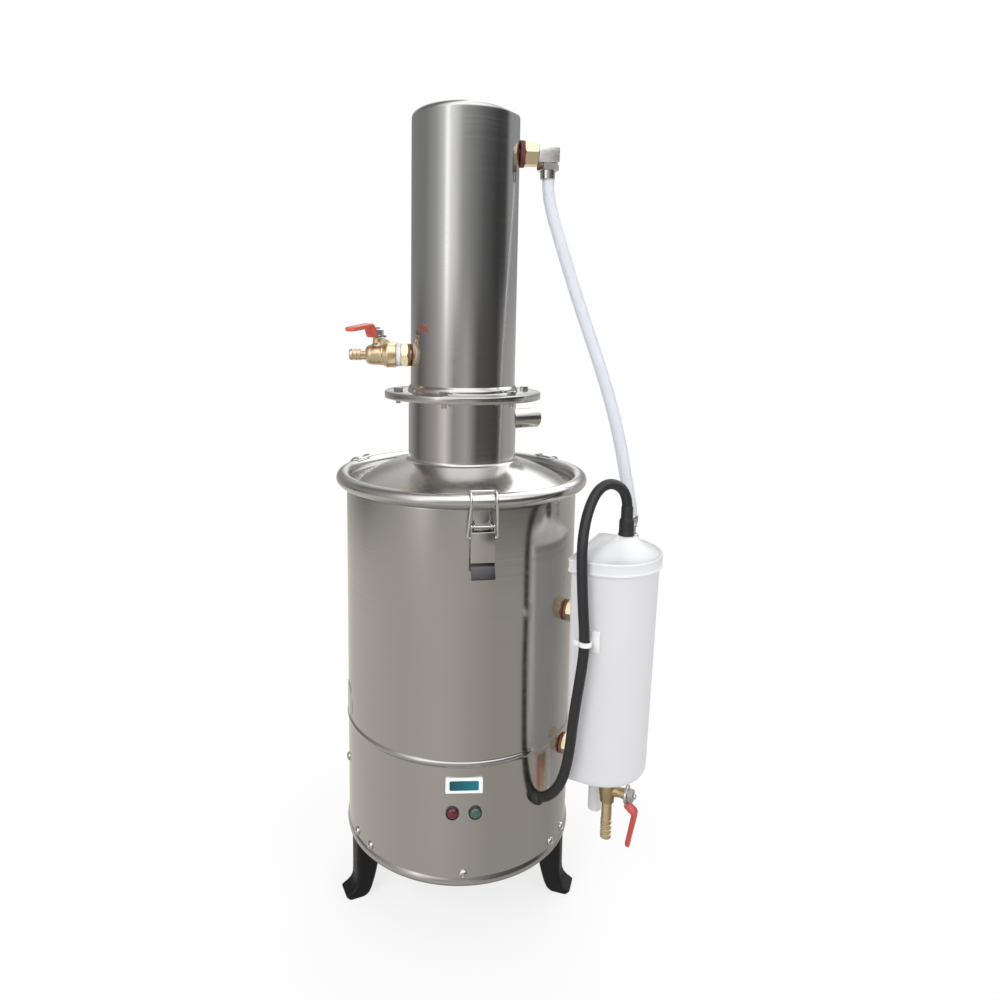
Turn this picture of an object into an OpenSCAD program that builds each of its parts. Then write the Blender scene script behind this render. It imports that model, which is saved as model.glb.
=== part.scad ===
// Stainless steel water distiller: boiler, lid with neck, condenser, feed cup and fittings.
// Millimetres, +Z up, the boiler's axis on Z and the bench at z = 0.
// Angles round the boiler are measured from the front (-Y) and are positive to the right.

/* [Boiler] */
// Outer diameter of the boiler barrel
boiler_d = 230; // [215:1:270]
// Height of the barrel from its lower edge to its top lip
boiler_h = 358; // [340:1:440]
// Sheet thickness of the barrel, lid, condenser and pan
sheet = 1; // [0.8:0.1:1.4]
// Height of the boiler floor above the barrel's lower edge
floor_h = 93; // [86:1:98]
// Depth of the downturned skirt of the boiler floor
floor_skirt = 7; // [4:0.5:9]
// Height of the stiffening bead above the barrel's lower edge
bead_h = 120.5; // [120:0.5:160]
// Width of the stiffening bead
bead_w = 5; // [3:0.5:6]
// How far the stiffening bead stands out
bead_out = 1.2; // [0.6:0.1:2]
// Height of the rolled hem at the barrel's lower edge
hem_h = 8; // [5:0.5:8]
// How far the hem stands out
hem_out = 1.7; // [1:0.1:3]
// Width of the inward lip at the barrel's top
lip_w = 9; // [7:0.5:12]
// Radius of the round boss pressed out of the left side
boss_r = 18; // [12:1:24]
// Height of the round boss above the barrel's lower edge
boss_h = 139; // [130:1:200]

/* [Lid and neck] */
// Thickness of the ring seal under the lid
seal_t = 3; // [2:0.5:5]
// Diameter of the rolled edge of the lid, across its section
roll_d = 13.6; // [11:0.2:16]
// How far the rolled edge stands out from the barrel
roll_out = 10.3; // [9:0.1:14]
// How far the rolled edge hangs below the lid's seat
roll_drop = 2.5; // [1.5:0.1:2.9]
// Height from the lid's seat to the underside of the neck flange
lid_h = 83; // [75:1:110]
// Height of the neck's foot above the lid's seat
neck_foot = 25; // [22:0.5:30]
// Outer diameter of the neck
neck_d = 107.4; // [100:0.2:116]
// Radius of the flare at the neck's foot
flare_r = 4; // [2:0.5:8]
// Outer diameter of the neck and condenser flanges
flange_d = 155; // [150:1:170]
// Thickness of each flange
flange_t = 3; // [2:0.5:4]
// Thickness of the pad between the flanges
pad_t = 1; // [0.6:0.2:2]
// Shift of the bolt circle from the middle of the flange's rim, outward if positive
bolt_shift = -1; // [-2:0.5:1]
// Thread diameter of the flange bolts
bolt_d = 5; // [4:0.5:6]
// Width across flats of the flange bolts
bolt_af = 8; // [7:0.5:10]
// Angle of the first flange bolt
bolt_az = -18; // [-30:1:-10]

/* [Condenser] */
// Outer diameter of the condenser
cond_d = 103.6; // [98:0.2:106]
// Height of the condenser from its foot to its flat top
cond_h = 266; // [240:1:320]
// Radius of the condenser's top edge
cond_edge = 6; // [3:0.5:9]
// Height of the collar at the condenser's foot
collar_h = 6; // [3:0.5:8]
// How far the collar stands out
collar_out = 2.7; // [1:0.1:4]
// Height of the cooling water inlet above the condenser's foot
inlet_h = 37.5; // [34:0.5:60]
// Height of the cooling water outlet below the condenser's top
outlet_drop = 35; // [30:0.5:45]
// Outer diameter of each condensing tube
tube_d = 12; // [9:0.5:13]
// Length of the condensing tubes
tube_h = 170; // [140:1:185]
// Outer diameter of the distillate spout
spout_d = 20.6; // [16:0.2:22]
// Height of the distillate spout below the neck flange
spout_drop = 25; // [22:0.5:27]
// Length of the spout outside the neck
spout_len = 39; // [30:0.5:48]
// Angle of the distillate spout
spout_az = 119; // [110:1:130]

/* [Latches] */
// Angle of the front latch
latch_az = 6; // [0:1:12]
// Width of the latch levers
lever_w = 21.2; // [19:0.2:24]
// Length of the latch levers below their pivot
lever_len = 45; // [38:1:52]
// Height of the latch pivot below the barrel's top
pivot_drop = 15; // [14:0.5:18]
// Diameter of the latch pivot pin
pin_d = 3; // [2.6:0.1:3.2]
// Diameter of the bail wire
wire_d = 2.2; // [2:0.1:2.8]
// Height of the bail's ends below the pivot
bail_drop = 9.5; // [9:0.1:10.5]

/* [Feed cup] */
// Angle of the feed cup
cup_az = 60; // [56:1:66]
// Gap between the barrel and the flat back of the cup
cup_gap = 18.5; // [17:0.5:24]
// Radius of the cup's round front at its top
cup_top_r = 47.5; // [46:0.5:54]
// Radius of the cup's round front at its bottom
cup_base_r = 43.5; // [42:0.5:46]
// Depth of the straight part of the cup, from its back to the centre of its front
cup_side = 20.5; // [18:0.5:26]
// Height of the cup
cup_h = 213; // [200:1:240]
// Height of the cup's underside above the barrel's lower edge
cup_rise = 96; // [92:0.5:97]
// Height of the slope round the cup's bottom edge
cup_chamfer = 8; // [4:0.5:9]
// Wall thickness of the cup
cup_wall = 2.5; // [1.8:0.1:2.8]
// Depth of the lid's rim
cup_lid_rim = 12; // [8:0.5:16]
// Wall thickness of the cup's lid
cup_lid_wall = 2.2; // [1.6:0.1:3]
// Height of the raised middle of the cup's lid
cup_crown = 15; // [8:0.5:18]
// Radius of the raised middle of the cup's lid at its foot
crown_r = 23.5; // [20:0.5:24]
// Height of the lower nipple above the barrel's lower edge
nipple_h = 106.5; // [106:0.5:107.5]
// Distance between the two nipples
nipple_pitch = 137.5; // [120:0.5:150]
// Thread diameter of the nipples
nipple_d = 13; // [11:0.5:13]
// Width across flats of the nipples
nipple_af = 18; // [16:0.5:19]
// Diameter of the overflow pipe
overflow_d = 13; // [10:0.5:14]
// Length of the overflow pipe below the cup
overflow_out = 58; // [40:1:64]
// Diameter of the float
float_d = 24; // [18:0.5:26]
// Height of the float
float_h = 20; // [14:0.5:24]
// Travel of the float on its rod
float_travel = 15; // [10:1:24]

/* [Valves and fittings] */
// Outer diameter of the fibre washer on the inlet
washer_d = 22; // [21:0.5:25]
// Thickness of the fibre washers
washer_t = 2.4; // [1.6:0.1:3]
// Outer diameter of the thick washer on the outlet
outlet_washer_d = 25; // [22:0.5:28]
// Thickness of the thick washer on the outlet
outlet_washer_t = 4.6; // [3:0.2:6]
// Width across flats of the inlet nipple
inlet_af = 22; // [20:0.5:24]
// Length of the inlet nipple's hexagon
inlet_hex = 7; // [5:0.5:9]
// Width of the thread seal band
seal_band = 4.8; // [3:0.2:6]
// Diameter of the inlet valve's collar
inlet_collar_d = 25.5; // [23:0.5:27]
// Length of the inlet valve's collar
inlet_collar = 12; // [11:0.5:15]
// Diameter of the inlet valve's ball housing
inlet_house_d = 20.6; // [19.6:0.2:23]
// Length of the inlet lever
inlet_lever_len = 53; // [40:0.5:60]
// Turn of the inlet lever from its open position
inlet_turn = 63; // [0:1:90]
// Diameter of the drain valve's ball housing
drain_house_d = 15; // [14.4:0.2:16]
// Length of the drain lever
drain_lever_len = 53; // [40:0.5:60]
// Thickness of the valve levers
grip_t = 2.4; // [2:0.1:3]
// Width of the valve levers
grip_w = 12; // [9:0.5:13]
// Outer diameter of the inlet barb's ribs
inlet_barb_d = 11.4; // [10.6:0.2:14]
// Outer diameter of the drain barb's ribs
drain_barb_d = 11.6; // [10.6:0.2:12]
// Width of the outlet elbow
elbow_w = 20; // [18:0.5:22]
// Height of the outlet elbow
elbow_h = 17.5; // [16:0.5:20]
// Width across flats of the outlet nipple
outlet_af = 21; // [18:0.5:23]
// Length of the outlet nipple's hexagon
outlet_hex = 13.3; // [10:0.1:17]
// Diameter of the clear hose
hose_d = 11.5; // [10:0.5:12]
// Diameter of the black cable
cable_d = 9.5; // [8:0.5:10]

/* [Front and base] */
// Height of the pilot lamps above the barrel's lower edge
lamp_h = 73; // [60:0.5:74]
// Distance between the pilot lamps
lamp_pitch = 21; // [18:0.5:28]
// Outer diameter of the lamp bezels
bezel_d = 12.4; // [11:0.2:14]
// Width of the plate
plate_w = 34; // [24:1:44]
// Height of the plate
plate_h = 15; // [10:0.5:20]
// Height of the plate's middle above the barrel's lower edge
plate_mid = 100.5; // [94:0.5:104]
// Angle of the cable grommet
grommet_az = 36.5; // [30:0.5:44]
// Height of the feet
foot_h = 64; // [50:1:80]
// Width of the feet
foot_w = 22; // [16:1:30]
// Angle of the two front feet
foot_az = 69; // [62:1:74]
// Height of the pan screws above the barrel's lower edge
screw_h = 12; // [11.5:0.5:13]
// Diameter of the screws
screw_d = 4; // [3:0.2:4.4]

/* [Clearances] */
// Gap between pieces that are fixed to each other
fit = 0.2; // [0.1:0.05:0.3]
// Radial gap of a turning pin or stem
run = 0.06; // [0.03:0.01:0.08]
// Gap beside pieces that move
free = 0.4; // [0.3:0.05:0.5]

/* [Hidden] */
$fn = 48;

boiler_r = boiler_d / 2;
inner_r = boiler_r - sheet;
barrel_z = foot_h;
barrel_top = barrel_z + boiler_h;
floor_z = barrel_z + floor_h;
bead_z = barrel_z + bead_h;

lid_z = barrel_top + seal_t;
seat_r = boiler_r - lip_w;
roll_r = roll_d / 2;
roll_cr = boiler_r + roll_out - roll_r;
roll_cz = lid_z + roll_r - roll_drop;
neck_r = neck_d / 2;
neck_z = lid_z + neck_foot;
flange_r = flange_d / 2;
flange_z = lid_z + lid_h;
pad_z = flange_z + flange_t;
cond_z = pad_z + pad_t;
cond_top = cond_z + cond_h;
cond_r = cond_d / 2;
cond_in = cond_r - sheet;
inlet_z = cond_z + inlet_h;
outlet_z = cond_top - outlet_drop;
bolt_cr = (cond_r + collar_out + flange_r) / 2 + bolt_shift;
bolt_head = 3.5;
bolt_tail = 5;

// The lid's dome is part of a sphere through the seat ring and the flare's foot.
flare_end = 253;
flare_c = [neck_r + flare_r, neck_z];
dome_in = flare_c + flare_r * [cos(flare_end), sin(flare_end)];
dome_out = [seat_r, lid_z + sheet];
dome_cz = (dome_in[0] ^ 2 + dome_in[1] ^ 2 - dome_out[0] ^ 2 - dome_out[1] ^ 2)
    / (2 * (dome_in[1] - dome_out[1]));
dome_r = norm(dome_out - [0, dome_cz]);

// Condenser inside: tube plate, ring of tubes and the header that closes them.
plate_t = 3;
tube_z = cond_z + flange_t + 1;
tube_ring = 28;
tube_count = 6;
header_h = 18;
tray_z = flange_z - spout_drop - spout_d / 2 - 2;
tray_h = 16;
riser_r = 20;
spout_z = flange_z - spout_drop;
spout_in = 3;
spigot_r = spout_d / 2 - 0.6;

latch_names = ["front", "right", "left"];
latch_angles = [latch_az, latch_az + 119, latch_az - 124];
pivot = [boiler_r + 4.8, barrel_top - pivot_drop];
bail_end = [boiler_r + 5.5, pivot[1] - bail_drop];
plate_gauge = 1.2;
base_w = lever_w - 4 * plate_gauge;
bail_w = lever_w + 2 * free + wire_d;
roll_c = [roll_cr, roll_cz];
arm_c = [sqrt(roll_cr ^ 2 - (bail_w / 2) ^ 2), roll_cz];
bail_gap = 0.85;
bail_knee_d = wire_d + 0.5;
bail_bend = roll_r + wire_d / 2 + bail_gap;
bail_span = norm(bail_end - arm_c);
bail_touch = atan2(bail_end[1] - arm_c[1], bail_end[0] - arm_c[0]) + acos(bail_bend / bail_span);
bail_hook = 115;
bail_foot = arm_c + bail_bend * [cos(bail_touch), sin(bail_touch)];
bail_bar = arm_c + bail_bend * [cos(bail_hook), sin(bail_hook)];

cup_back = boiler_r + cup_gap;
cup_c = cup_back + cup_side;
cup_z = barrel_z + cup_rise;
cup_top = cup_z + cup_h;
cup_taper = (cup_top_r - cup_base_r) / (cup_h - cup_chamfer);
lid_rim_r = cup_top_r + fit + cup_lid_wall;
lid_top = cup_top + cup_lid_wall;
cuff_r = cup_c + 16.5;
crown_top_r = 10;
cuff_z = lid_top + cup_crown;
cuff_h = 27;
barb_at = [cup_c + 13, 32];
barb_h = 26;
drain_at = cup_c + 9;
overflow_at = [cup_c - 7, 14];
overflow_top = cup_top - 75;
rod_d = 6;
rod_clip = 3;
clip_d = 12;
float_drop = 40;
float_z = overflow_top - float_drop;
nipple_z = [barrel_z + nipple_h, barrel_z + nipple_h + nipple_pitch];
nipple_washer_d = 20;

// Inlet valve along its own axis, measured out from the condenser.
inlet_seat = washer_t;
inlet_band = inlet_seat + inlet_hex;
inlet_body = inlet_band + seal_band;
inlet_stem = 18.5;
inlet_house = 18;
inlet_barb = 16.2;
inlet_thread = 16;
inlet_ball = 14;
inlet_stem_d = 5.2;
inlet_bonnet = 16.5;
inlet_step = 9;
inlet_dip = 6;
inlet_lug = 10;
// Drain valve along its own axis, measured down from the cup.
drain_collar = 14;
drain_collar_d = 14;
drain_stem = 24;
drain_house = 22;
drain_barb = 38.8;
drain_thread = 12;
drain_ball = 10;
drain_stem_d = 4;
drain_bonnet = 17.5;
drain_step = 7;
drain_dip = 9;
// Levers of both valves.
hub_d = 18;
step_run = 5.5;
grip_body = 4;
lever_nut_af = 11;
lever_nut_h = 6;
stem_end = 7.5;

outlet_nut_h = 6.5;
outlet_nut_af = 18.6;
sleeve_h = 8;
sleeve_wall = 1.2;
elbow_bore = 4;

// Routes of the hose and the cable.
hose_route = [
    [80.5, 0, 730], [80.5, -0.5, 712], [82, -1, 700], [86, -4, 682], [92, -8, 662], [103, -16, 624],
    [115, -24.5, 586], [127.5, -33.5, 548], [139, -41.5, 510], [148, -47.8, 473], [154, -51.8, 440],
    [157.5, -54.2, 420], [160, -55.8, 405], [160.5, -56.1, 393]
];
cable_route = [
    [147.5, -85.5, 408], [147.5, -85.5, 421.5], [142.5, -86.2, 434], [130.5, -88, 439.5], [119, -91.5, 434.2],
    [110.5, -99, 422.5], [103.5, -110, 407.3], [99.4, -119.6, 388], [99.8, -122.8, 362], [101.5, -123.8, 332],
    [104, -124, 303], [102, -123.5, 279], [99.5, -122.5, 256], [97, -120.5, 232], [95.5, -119, 208],
    [93.2, -117, 184], [88.8, -113, 163], [81.5, -106, 148], [73.5, -97.8, 139], [66, -89.3, 137]
];
cable_tie = 10;
grommet_z = barrel_z + 73;

screw_angles = [0, 50, 63, 120, 180, 240, 297, 310];
screw_len = 7;
earth_len = 12;
earth_az = -80;
gland_z = barrel_z + 40;
gland_af = 18;
gland_hex_h = 6;
gland_nut_r = 8.4;
gland_nut_h = 7;
gland_dome_h = 3;
gland_tail_r = 7;
gland_tail = 9;
gland_bore = 4.2;

heater_d = 9;
heater_r = 70;
heater_rise = 26;
heater_tail = 20;
heater_z = floor_z + heater_rise;
heater_leg = 20;
heater_nut_h = 6;
heater_nut_af = 17;

steel = "#c8c8c4";
brass = "#b8954f";
nickel = "#d4d2cc";
red = "#c8452f";
milky = "#e9ecee";
black = "#1e1e20";
fibre = "#8a4a3c";

// Local frame at an angle round the boiler: X outward, Y along the wall to the right, Z up.
module radial(az, z = 0) {
    rotate([0, 0, az - 90]) translate([0, 0, z]) children();
}

// Turns Z into the outward direction, at the given distance from the axis.
module outward(r) {
    translate([r, 0, 0]) rotate([0, 90, 0]) children();
}

// Places a shape drawn in the plane of X and Z, with its width along Y.
module slab(w, y = 0) {
    translate([0, y + w / 2, 0]) rotate([90, 0, 0]) linear_extrude(w) children();
}

module ring(r_out, r_in, h) {
    difference() {
        cylinder(h = h, r = r_out);
        translate([0, 0, -1]) cylinder(h = h + 2, r = r_in);
    }
}

module hex(af, h) {
    cylinder(h = h, d = af / cos(30), $fn = 6);
}

module hex_nut(af, h, bore) {
    difference() {
        hex(af, h);
        translate([0, 0, -1]) cylinder(h = h + 2, r = bore);
    }
}

function arc(c, r, a0, a1, n) = [
    for (i = [0:n]) let (a = a0 + (a1 - a0) * i / n) c + r * [cos(a), sin(a)]
];

// A rounded swelling on a wall of radius r, from z up to z + h.
function swell(r, out, z, h, n = 8) = [for (i = [0:n]) [r + out * sin(180 * i / n), z + h * i / n]];

function backwards(p) = [for (i = [len(p) - 1:-1:0]) p[i]];

// Barrel wall from the hem up to the lip; inset is 0 outside and one sheet inside.
function barrel_wall(inset) = concat(
    swell(boiler_r - inset, hem_out, barrel_z, hem_h),
    swell(boiler_r - inset, bead_out, bead_z - bead_w / 2, bead_w),
    [[boiler_r - inset, barrel_top - inset], [seat_r, barrel_top - inset]]
);

module boiler_shell() {
    color(steel) difference() {
        union() {
            rotate_extrude($fn = 96) polygon(concat(barrel_wall(0), backwards(barrel_wall(sheet))));
            intersection() {
                translate([0, 0, barrel_z + boss_h - boss_r])
                    ring(boiler_r + 0.8, boiler_r - 0.3, 2 * boss_r);
                radial(-78, barrel_z + boss_h) outward(boiler_r - 30) cylinder(h = 40, r = boss_r);
            }
        }
        for (z = nipple_z) radial(cup_az, z) outward(boiler_r - 20) cylinder(h = 40, r = nipple_d / 2 + fit);
        for (s = [-1, 1])
            radial(0, barrel_z + lamp_h) translate([0, s * lamp_pitch / 2, 0])
                outward(boiler_r - 10) cylinder(h = 20, r = bezel_d / 2 - 1.7 + fit);
        radial(grommet_az, grommet_z) outward(boiler_r - 10) cylinder(h = 20, r = cable_d / 2 + 0.6 + fit);
        radial(180, gland_z) outward(boiler_r - 10) cylinder(h = 20, r = gland_tail_r + fit);
        radial(earth_az, grommet_z) outward(boiler_r - 10) cylinder(h = 20, r = screw_d / 2 + fit);
        for (a = screw_angles)
            radial(a, barrel_z + screw_h) outward(boiler_r - 10) cylinder(h = 20, r = screw_d / 2 + fit);
    }
}

module boiler_floor() {
    r = inner_r - fit;
    color(steel) difference() {
        translate([0, 0, floor_z - floor_skirt]) cylinder(h = floor_skirt + sheet, r = r);
        translate([0, 0, floor_z - floor_skirt - 1]) cylinder(h = floor_skirt + 1, r = r - sheet);
        for (s = [-1, 1])
            rotate([0, 0, 90 + s * heater_leg]) translate([heater_r, 0, floor_z - 1])
                cylinder(h = sheet + 2, r = heater_d / 2 + fit);
    }
}

// One tubular element: an open ring with a leg down through the floor at each end.
module heater_tube() {
    color("#6f6a64") {
        rotate([0, 0, 90 + heater_leg]) translate([0, 0, heater_z])
            rotate_extrude(angle = 360 - 2 * heater_leg, $fn = 96)
                translate([heater_r, 0]) circle(d = heater_d);
        for (s = [-1, 1])
            rotate([0, 0, 90 + s * heater_leg]) translate([heater_r, 0, 0]) {
                translate([0, 0, heater_z]) sphere(d = heater_d + 0.3);
                translate([0, 0, floor_z - heater_tail])
                    cylinder(h = heater_rise + heater_tail, d = heater_d);
            }
    }
}

module heater_nuts() {
    h = heater_nut_h;
    color(brass)
        for (s = [-1, 1])
            rotate([0, 0, 90 + s * heater_leg]) translate([heater_r, 0, 0]) {
                translate([0, 0, floor_z - h]) hex_nut(heater_nut_af, h, heater_d / 2 + fit);
                translate([0, 0, floor_z + sheet]) hex_nut(heater_nut_af, h, heater_d / 2 + fit);
            }
}

module base_pan() {
    r = inner_r - fit;
    h = screw_h + 6;
    color(steel) difference() {
        translate([0, 0, barrel_z]) cylinder(h = h, r = r);
        translate([0, 0, barrel_z + sheet]) cylinder(h = h, r = r - sheet);
        for (a = screw_angles)
            radial(a, barrel_z + screw_h) outward(boiler_r - 10) cylinder(h = 20, r = screw_d / 2 + fit);
    }
}

// Dome-headed screw pointing inward, its head resting on the barrel.
module screw(len) {
    head_r = screw_d * 0.9;
    head_h = screw_d * 0.55;
    ball_r = (head_r ^ 2 + head_h ^ 2) / (2 * head_h);
    outward(boiler_r) {
        translate([0, 0, -len]) cylinder(h = len + 0.5, r = screw_d / 2);
        intersection() {
            translate([0, 0, head_h - ball_r]) sphere(r = ball_r);
            cylinder(h = head_h + 1, r = head_r + 1);
        }
    }
}

module pan_screws() {
    color(nickel) {
        for (a = screw_angles) radial(a, barrel_z + screw_h) screw(screw_len);
        radial(earth_az, grommet_z) screw(earth_len);
    }
}

// Cast foot in its own radial plane: a straight leg that turns out into a toe.
module foot(az) {
    h = foot_h;
    r = boiler_r;
    outline = concat(
        [[r - 24, h], [r - 1, h]],
        arc([r - 1 + h / 4, h * 0.31], h / 4, 180, 250, 6),
        [[r + 10.5, h * 0.06], [r + 7, 0], [r - 9, 0], [r - 13, h * 0.04]],
        [[r - 17, h * 0.13], [r - 20.5, h * 0.29], [r - 23, h * 0.47]]
    );
    color(black) radial(az) slab(foot_w) polygon(outline);
}

// Half profile of the lid: neck flange, neck, flare, dome, seat and rolled edge.
function lid_sheet(inset) = concat(
    arc(flare_c, flare_r + inset, 180, flare_end, 6),
    [for (i = [1:8]) let (
        a0 = atan2(dome_in[1] - dome_cz, dome_in[0]),
        a1 = atan2(dome_out[1] - dome_cz, dome_out[0]),
        a = a0 + (a1 - a0) * i / 8
    ) [0, dome_cz] + (dome_r - inset) * [cos(a), sin(a)]],
    arc(roll_c, roll_r - inset, 180 + asin((roll_cz - lid_z - sheet + inset) / (roll_r - inset)), -110, 28)
);

module lid() {
    color(steel) difference() {
        rotate_extrude($fn = 96) polygon(concat(
            [[neck_r - sheet, pad_z], [flange_r, pad_z], [flange_r, flange_z], [neck_r, flange_z]],
            lid_sheet(0), backwards(lid_sheet(sheet))
        ));
        for (i = [0:5])
            radial(bolt_az + 60 * i, flange_z - 1) translate([bolt_cr, 0, 0])
                cylinder(h = flange_t + 2, r = bolt_d / 2 + fit / 2);
        radial(spout_az, spout_z) outward(neck_r - 20) cylinder(h = 40, r = spigot_r + fit);
    }
}

module lid_seal() {
    color("#b9b4aa") translate([0, 0, barrel_top]) ring(boiler_r - 2.5, seat_r + 0.5, seal_t);
}

module flange_pad() {
    color("#9c9a92") translate([0, 0, pad_z]) difference() {
        ring(flange_r - 1, neck_r, pad_t);
        for (i = [0:5])
            radial(bolt_az + 60 * i, -1) translate([bolt_cr, 0, 0])
                cylinder(h = pad_t + 2, r = bolt_d / 2 + fit);
    }
}

module condenser_shell() {
    foot_top = cond_z + flange_t;
    outline = concat(
        [[cond_in, cond_z], [flange_r, cond_z], [flange_r, foot_top], [cond_r + collar_out, foot_top]],
        [[cond_r + collar_out, foot_top + collar_h * 0.6], [cond_r, foot_top + collar_h]],
        arc([cond_r - cond_edge, cond_top - cond_edge], cond_edge, 0, 90, 6),
        [[0, cond_top], [0, cond_top - sheet]],
        arc([cond_r - cond_edge, cond_top - cond_edge], cond_edge - sheet, 90, 0, 6)
    );
    color(steel) difference() {
        rotate_extrude($fn = 96) polygon(outline);
        for (i = [0:5])
            radial(bolt_az + 60 * i, cond_z - 1) translate([bolt_cr, 0, 0])
                cylinder(h = flange_t + 2, r = bolt_d / 2 + fit);
        radial(-90, inlet_z) outward(cond_r - 20) cylinder(h = 40, r = 8 + fit);
        radial(90, outlet_z) outward(cond_r - 20) cylinder(h = 40, r = 6.5 + fit);
    }
}

// Tube plate across the condenser's foot, a ring of tubes and the header that joins their tops.
module condenser_tubes() {
    top = tube_z + tube_h;
    color(steel) difference() {
        union() {
            translate([0, 0, tube_z]) cylinder(h = plate_t, r = cond_in - fit);
            translate([0, 0, top - header_h]) cylinder(h = header_h, r = tube_ring + tube_d / 2 + 2);
            for (i = [0:tube_count - 1])
                rotate([0, 0, 360 * i / tube_count + 30]) translate([tube_ring, 0, tube_z])
                    cylinder(h = tube_h - 1, d = tube_d);
        }
        for (i = [0:tube_count - 1])
            rotate([0, 0, 360 * i / tube_count + 30]) translate([tube_ring, 0, tube_z - 1])
                cylinder(h = tube_h - header_h + 2, d = tube_d - 2 * sheet);
        translate([0, 0, top - header_h + plate_t])
            cylinder(h = header_h - 2 * plate_t, r = tube_ring + tube_d / 2);
    }
}

// Ring trough under the tubes: the steam rises through its middle, the distillate runs to the spout.
module drip_tray() {
    r = neck_r - sheet - fit;
    color(steel) difference() {
        union() {
            translate([0, 0, tray_z]) cylinder(h = tray_h, r = r);
            translate([0, 0, tray_z]) cylinder(h = tray_h + 8, r = riser_r);
        }
        translate([0, 0, tray_z + sheet]) ring(r - sheet, riser_r, tray_h + 20);
        translate([0, 0, tray_z - 1]) cylinder(h = tray_h + 20, r = riser_r - sheet);
        radial(spout_az, spout_z) outward(neck_r - 20) cylinder(h = 40, r = spigot_r + fit);
    }
}

// Straight tube out of the trough, with a shoulder on the neck.
module distillate_spout() {
    r_in = neck_r - sheet - spout_in;
    r_out = neck_r + spout_len;
    color(steel) radial(spout_az, spout_z) difference() {
        union() {
            outward(neck_r) cylinder(h = spout_len, d = spout_d);
            outward(r_in) cylinder(h = neck_r - r_in + 1, r = spigot_r);
        }
        outward(r_in - 1) cylinder(h = r_out - r_in + 2, r = spigot_r - sheet);
    }
}

// Bolts from above, threaded into the neck flange.
module flange_bolts() {
    top = cond_z + flange_t;
    color(nickel)
        for (i = [0:5])
            radial(bolt_az + 60 * i) translate([bolt_cr, 0, 0]) {
                translate([0, 0, top]) hex(bolt_af, bolt_head);
                translate([0, 0, flange_z - bolt_tail])
                    cylinder(h = top - flange_z + bolt_tail + 1, d = bolt_d);
            }
}

// Plate on the barrel with two ears that hold the pivot pin.
module latch_base(az) {
    ear = [[boiler_r, pivot[1] - 5], [pivot[0] + 1.2, pivot[1] - 3.2], [pivot[0] + 3.2, pivot[1]],
        [pivot[0] + 1.2, pivot[1] + 3.2], [boiler_r, pivot[1] + 6]];
    color(steel) radial(az) difference() {
        union() {
            translate([boiler_r, -base_w / 2, pivot[1] - lever_len + 8])
                cube([plate_gauge, base_w, lever_len + 5]);
            for (s = [-1, 1]) slab(plate_gauge, s * (base_w - plate_gauge) / 2) polygon(ear);
        }
        translate([pivot[0], 0, pivot[1]]) rotate([90, 0, 0])
            cylinder(h = lever_w, r = pin_d / 2 + 0.02, center = true);
    }
}

module latch_pins() {
    color(nickel)
        for (az = latch_angles)
            radial(az) translate([pivot[0], 0, pivot[1]]) rotate([90, 0, 0])
                cylinder(h = lever_w, d = pin_d, center = true);
}

// Lever with two ears on the pivot pin and a lip turned out at its foot.
module latch_lever(az) {
    face = pivot[0] + 3;
    foot_z = pivot[1] - lever_len;
    blade = [[face - plate_gauge, pivot[1] - 4], [face, pivot[1] - 4], [face, foot_z + 13],
        [face + 5.5, foot_z + 1], [face + 4.3, foot_z], [face - plate_gauge, foot_z + 12.4]];
    ear = [[pivot[0] - 2.6, pivot[1]], [face, pivot[1] - 1], [face, pivot[1] - 17],
        [face - 5, pivot[1] - 15]];
    color(steel) radial(az) difference() {
        union() {
            slab(lever_w) polygon(blade);
            for (s = [-1, 1]) slab(plate_gauge, s * (lever_w - plate_gauge) / 2) {
                polygon(ear);
                translate(pivot) circle(r = 3);
            }
        }
        translate([pivot[0], 0, pivot[1]]) rotate([90, 0, 0])
            cylinder(h = lever_w + 2, r = pin_d / 2 + run, center = true);
        translate([bail_end[0], 0, bail_end[1]]) rotate([90, 0, 0])
            cylinder(h = lever_w + 2, r = wire_d / 2 + run, center = true);
    }
}

// Wire bail: two pins in the lever's ears, two arms bent over the rolled edge and a bar on top of it.
module latch_bail(az) {
    arm = bail_foot - bail_end;
    lean = atan2(arm[0], arm[1]);
    y = bail_w / 2;
    pin_in = base_w / 2 + free;
    color(nickel) radial(az) {
        for (s = [-1, 1]) {
            translate([bail_end[0], s * y, bail_end[1]]) {
                rotate([s * 90, 0, 0]) cylinder(h = y - pin_in, d = wire_d);
                sphere(d = bail_knee_d);
                rotate([0, lean, 0]) cylinder(h = norm(arm), d = wire_d);
            }
            translate([arm_c[0], s * y, arm_c[1]]) rotate([90, 0, 0]) rotate([0, 0, bail_touch])
                rotate_extrude(angle = bail_hook - bail_touch) translate([bail_bend, 0]) circle(d = wire_d);
            for (p = [bail_foot, bail_bar]) translate([p[0], s * y, p[1]]) sphere(d = bail_knee_d);
        }
        translate([bail_bar[0], 0, bail_bar[1]]) rotate([90, 0, 0])
            cylinder(h = bail_w, d = wire_d, center = true);
    }
}

module fibre_washers() {
    color(fibre) {
        radial(-90, inlet_z) outward(cond_r) ring(washer_d / 2, 8 + fit, washer_t);
        radial(90, outlet_z) outward(cond_r) ring(outlet_washer_d / 2, 6.5 + fit, outlet_washer_t);
        for (z = nipple_z)
            radial(cup_az, z) outward(boiler_r) ring(nipple_washer_d / 2, nipple_d / 2 + fit, washer_t);
    }
}

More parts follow.
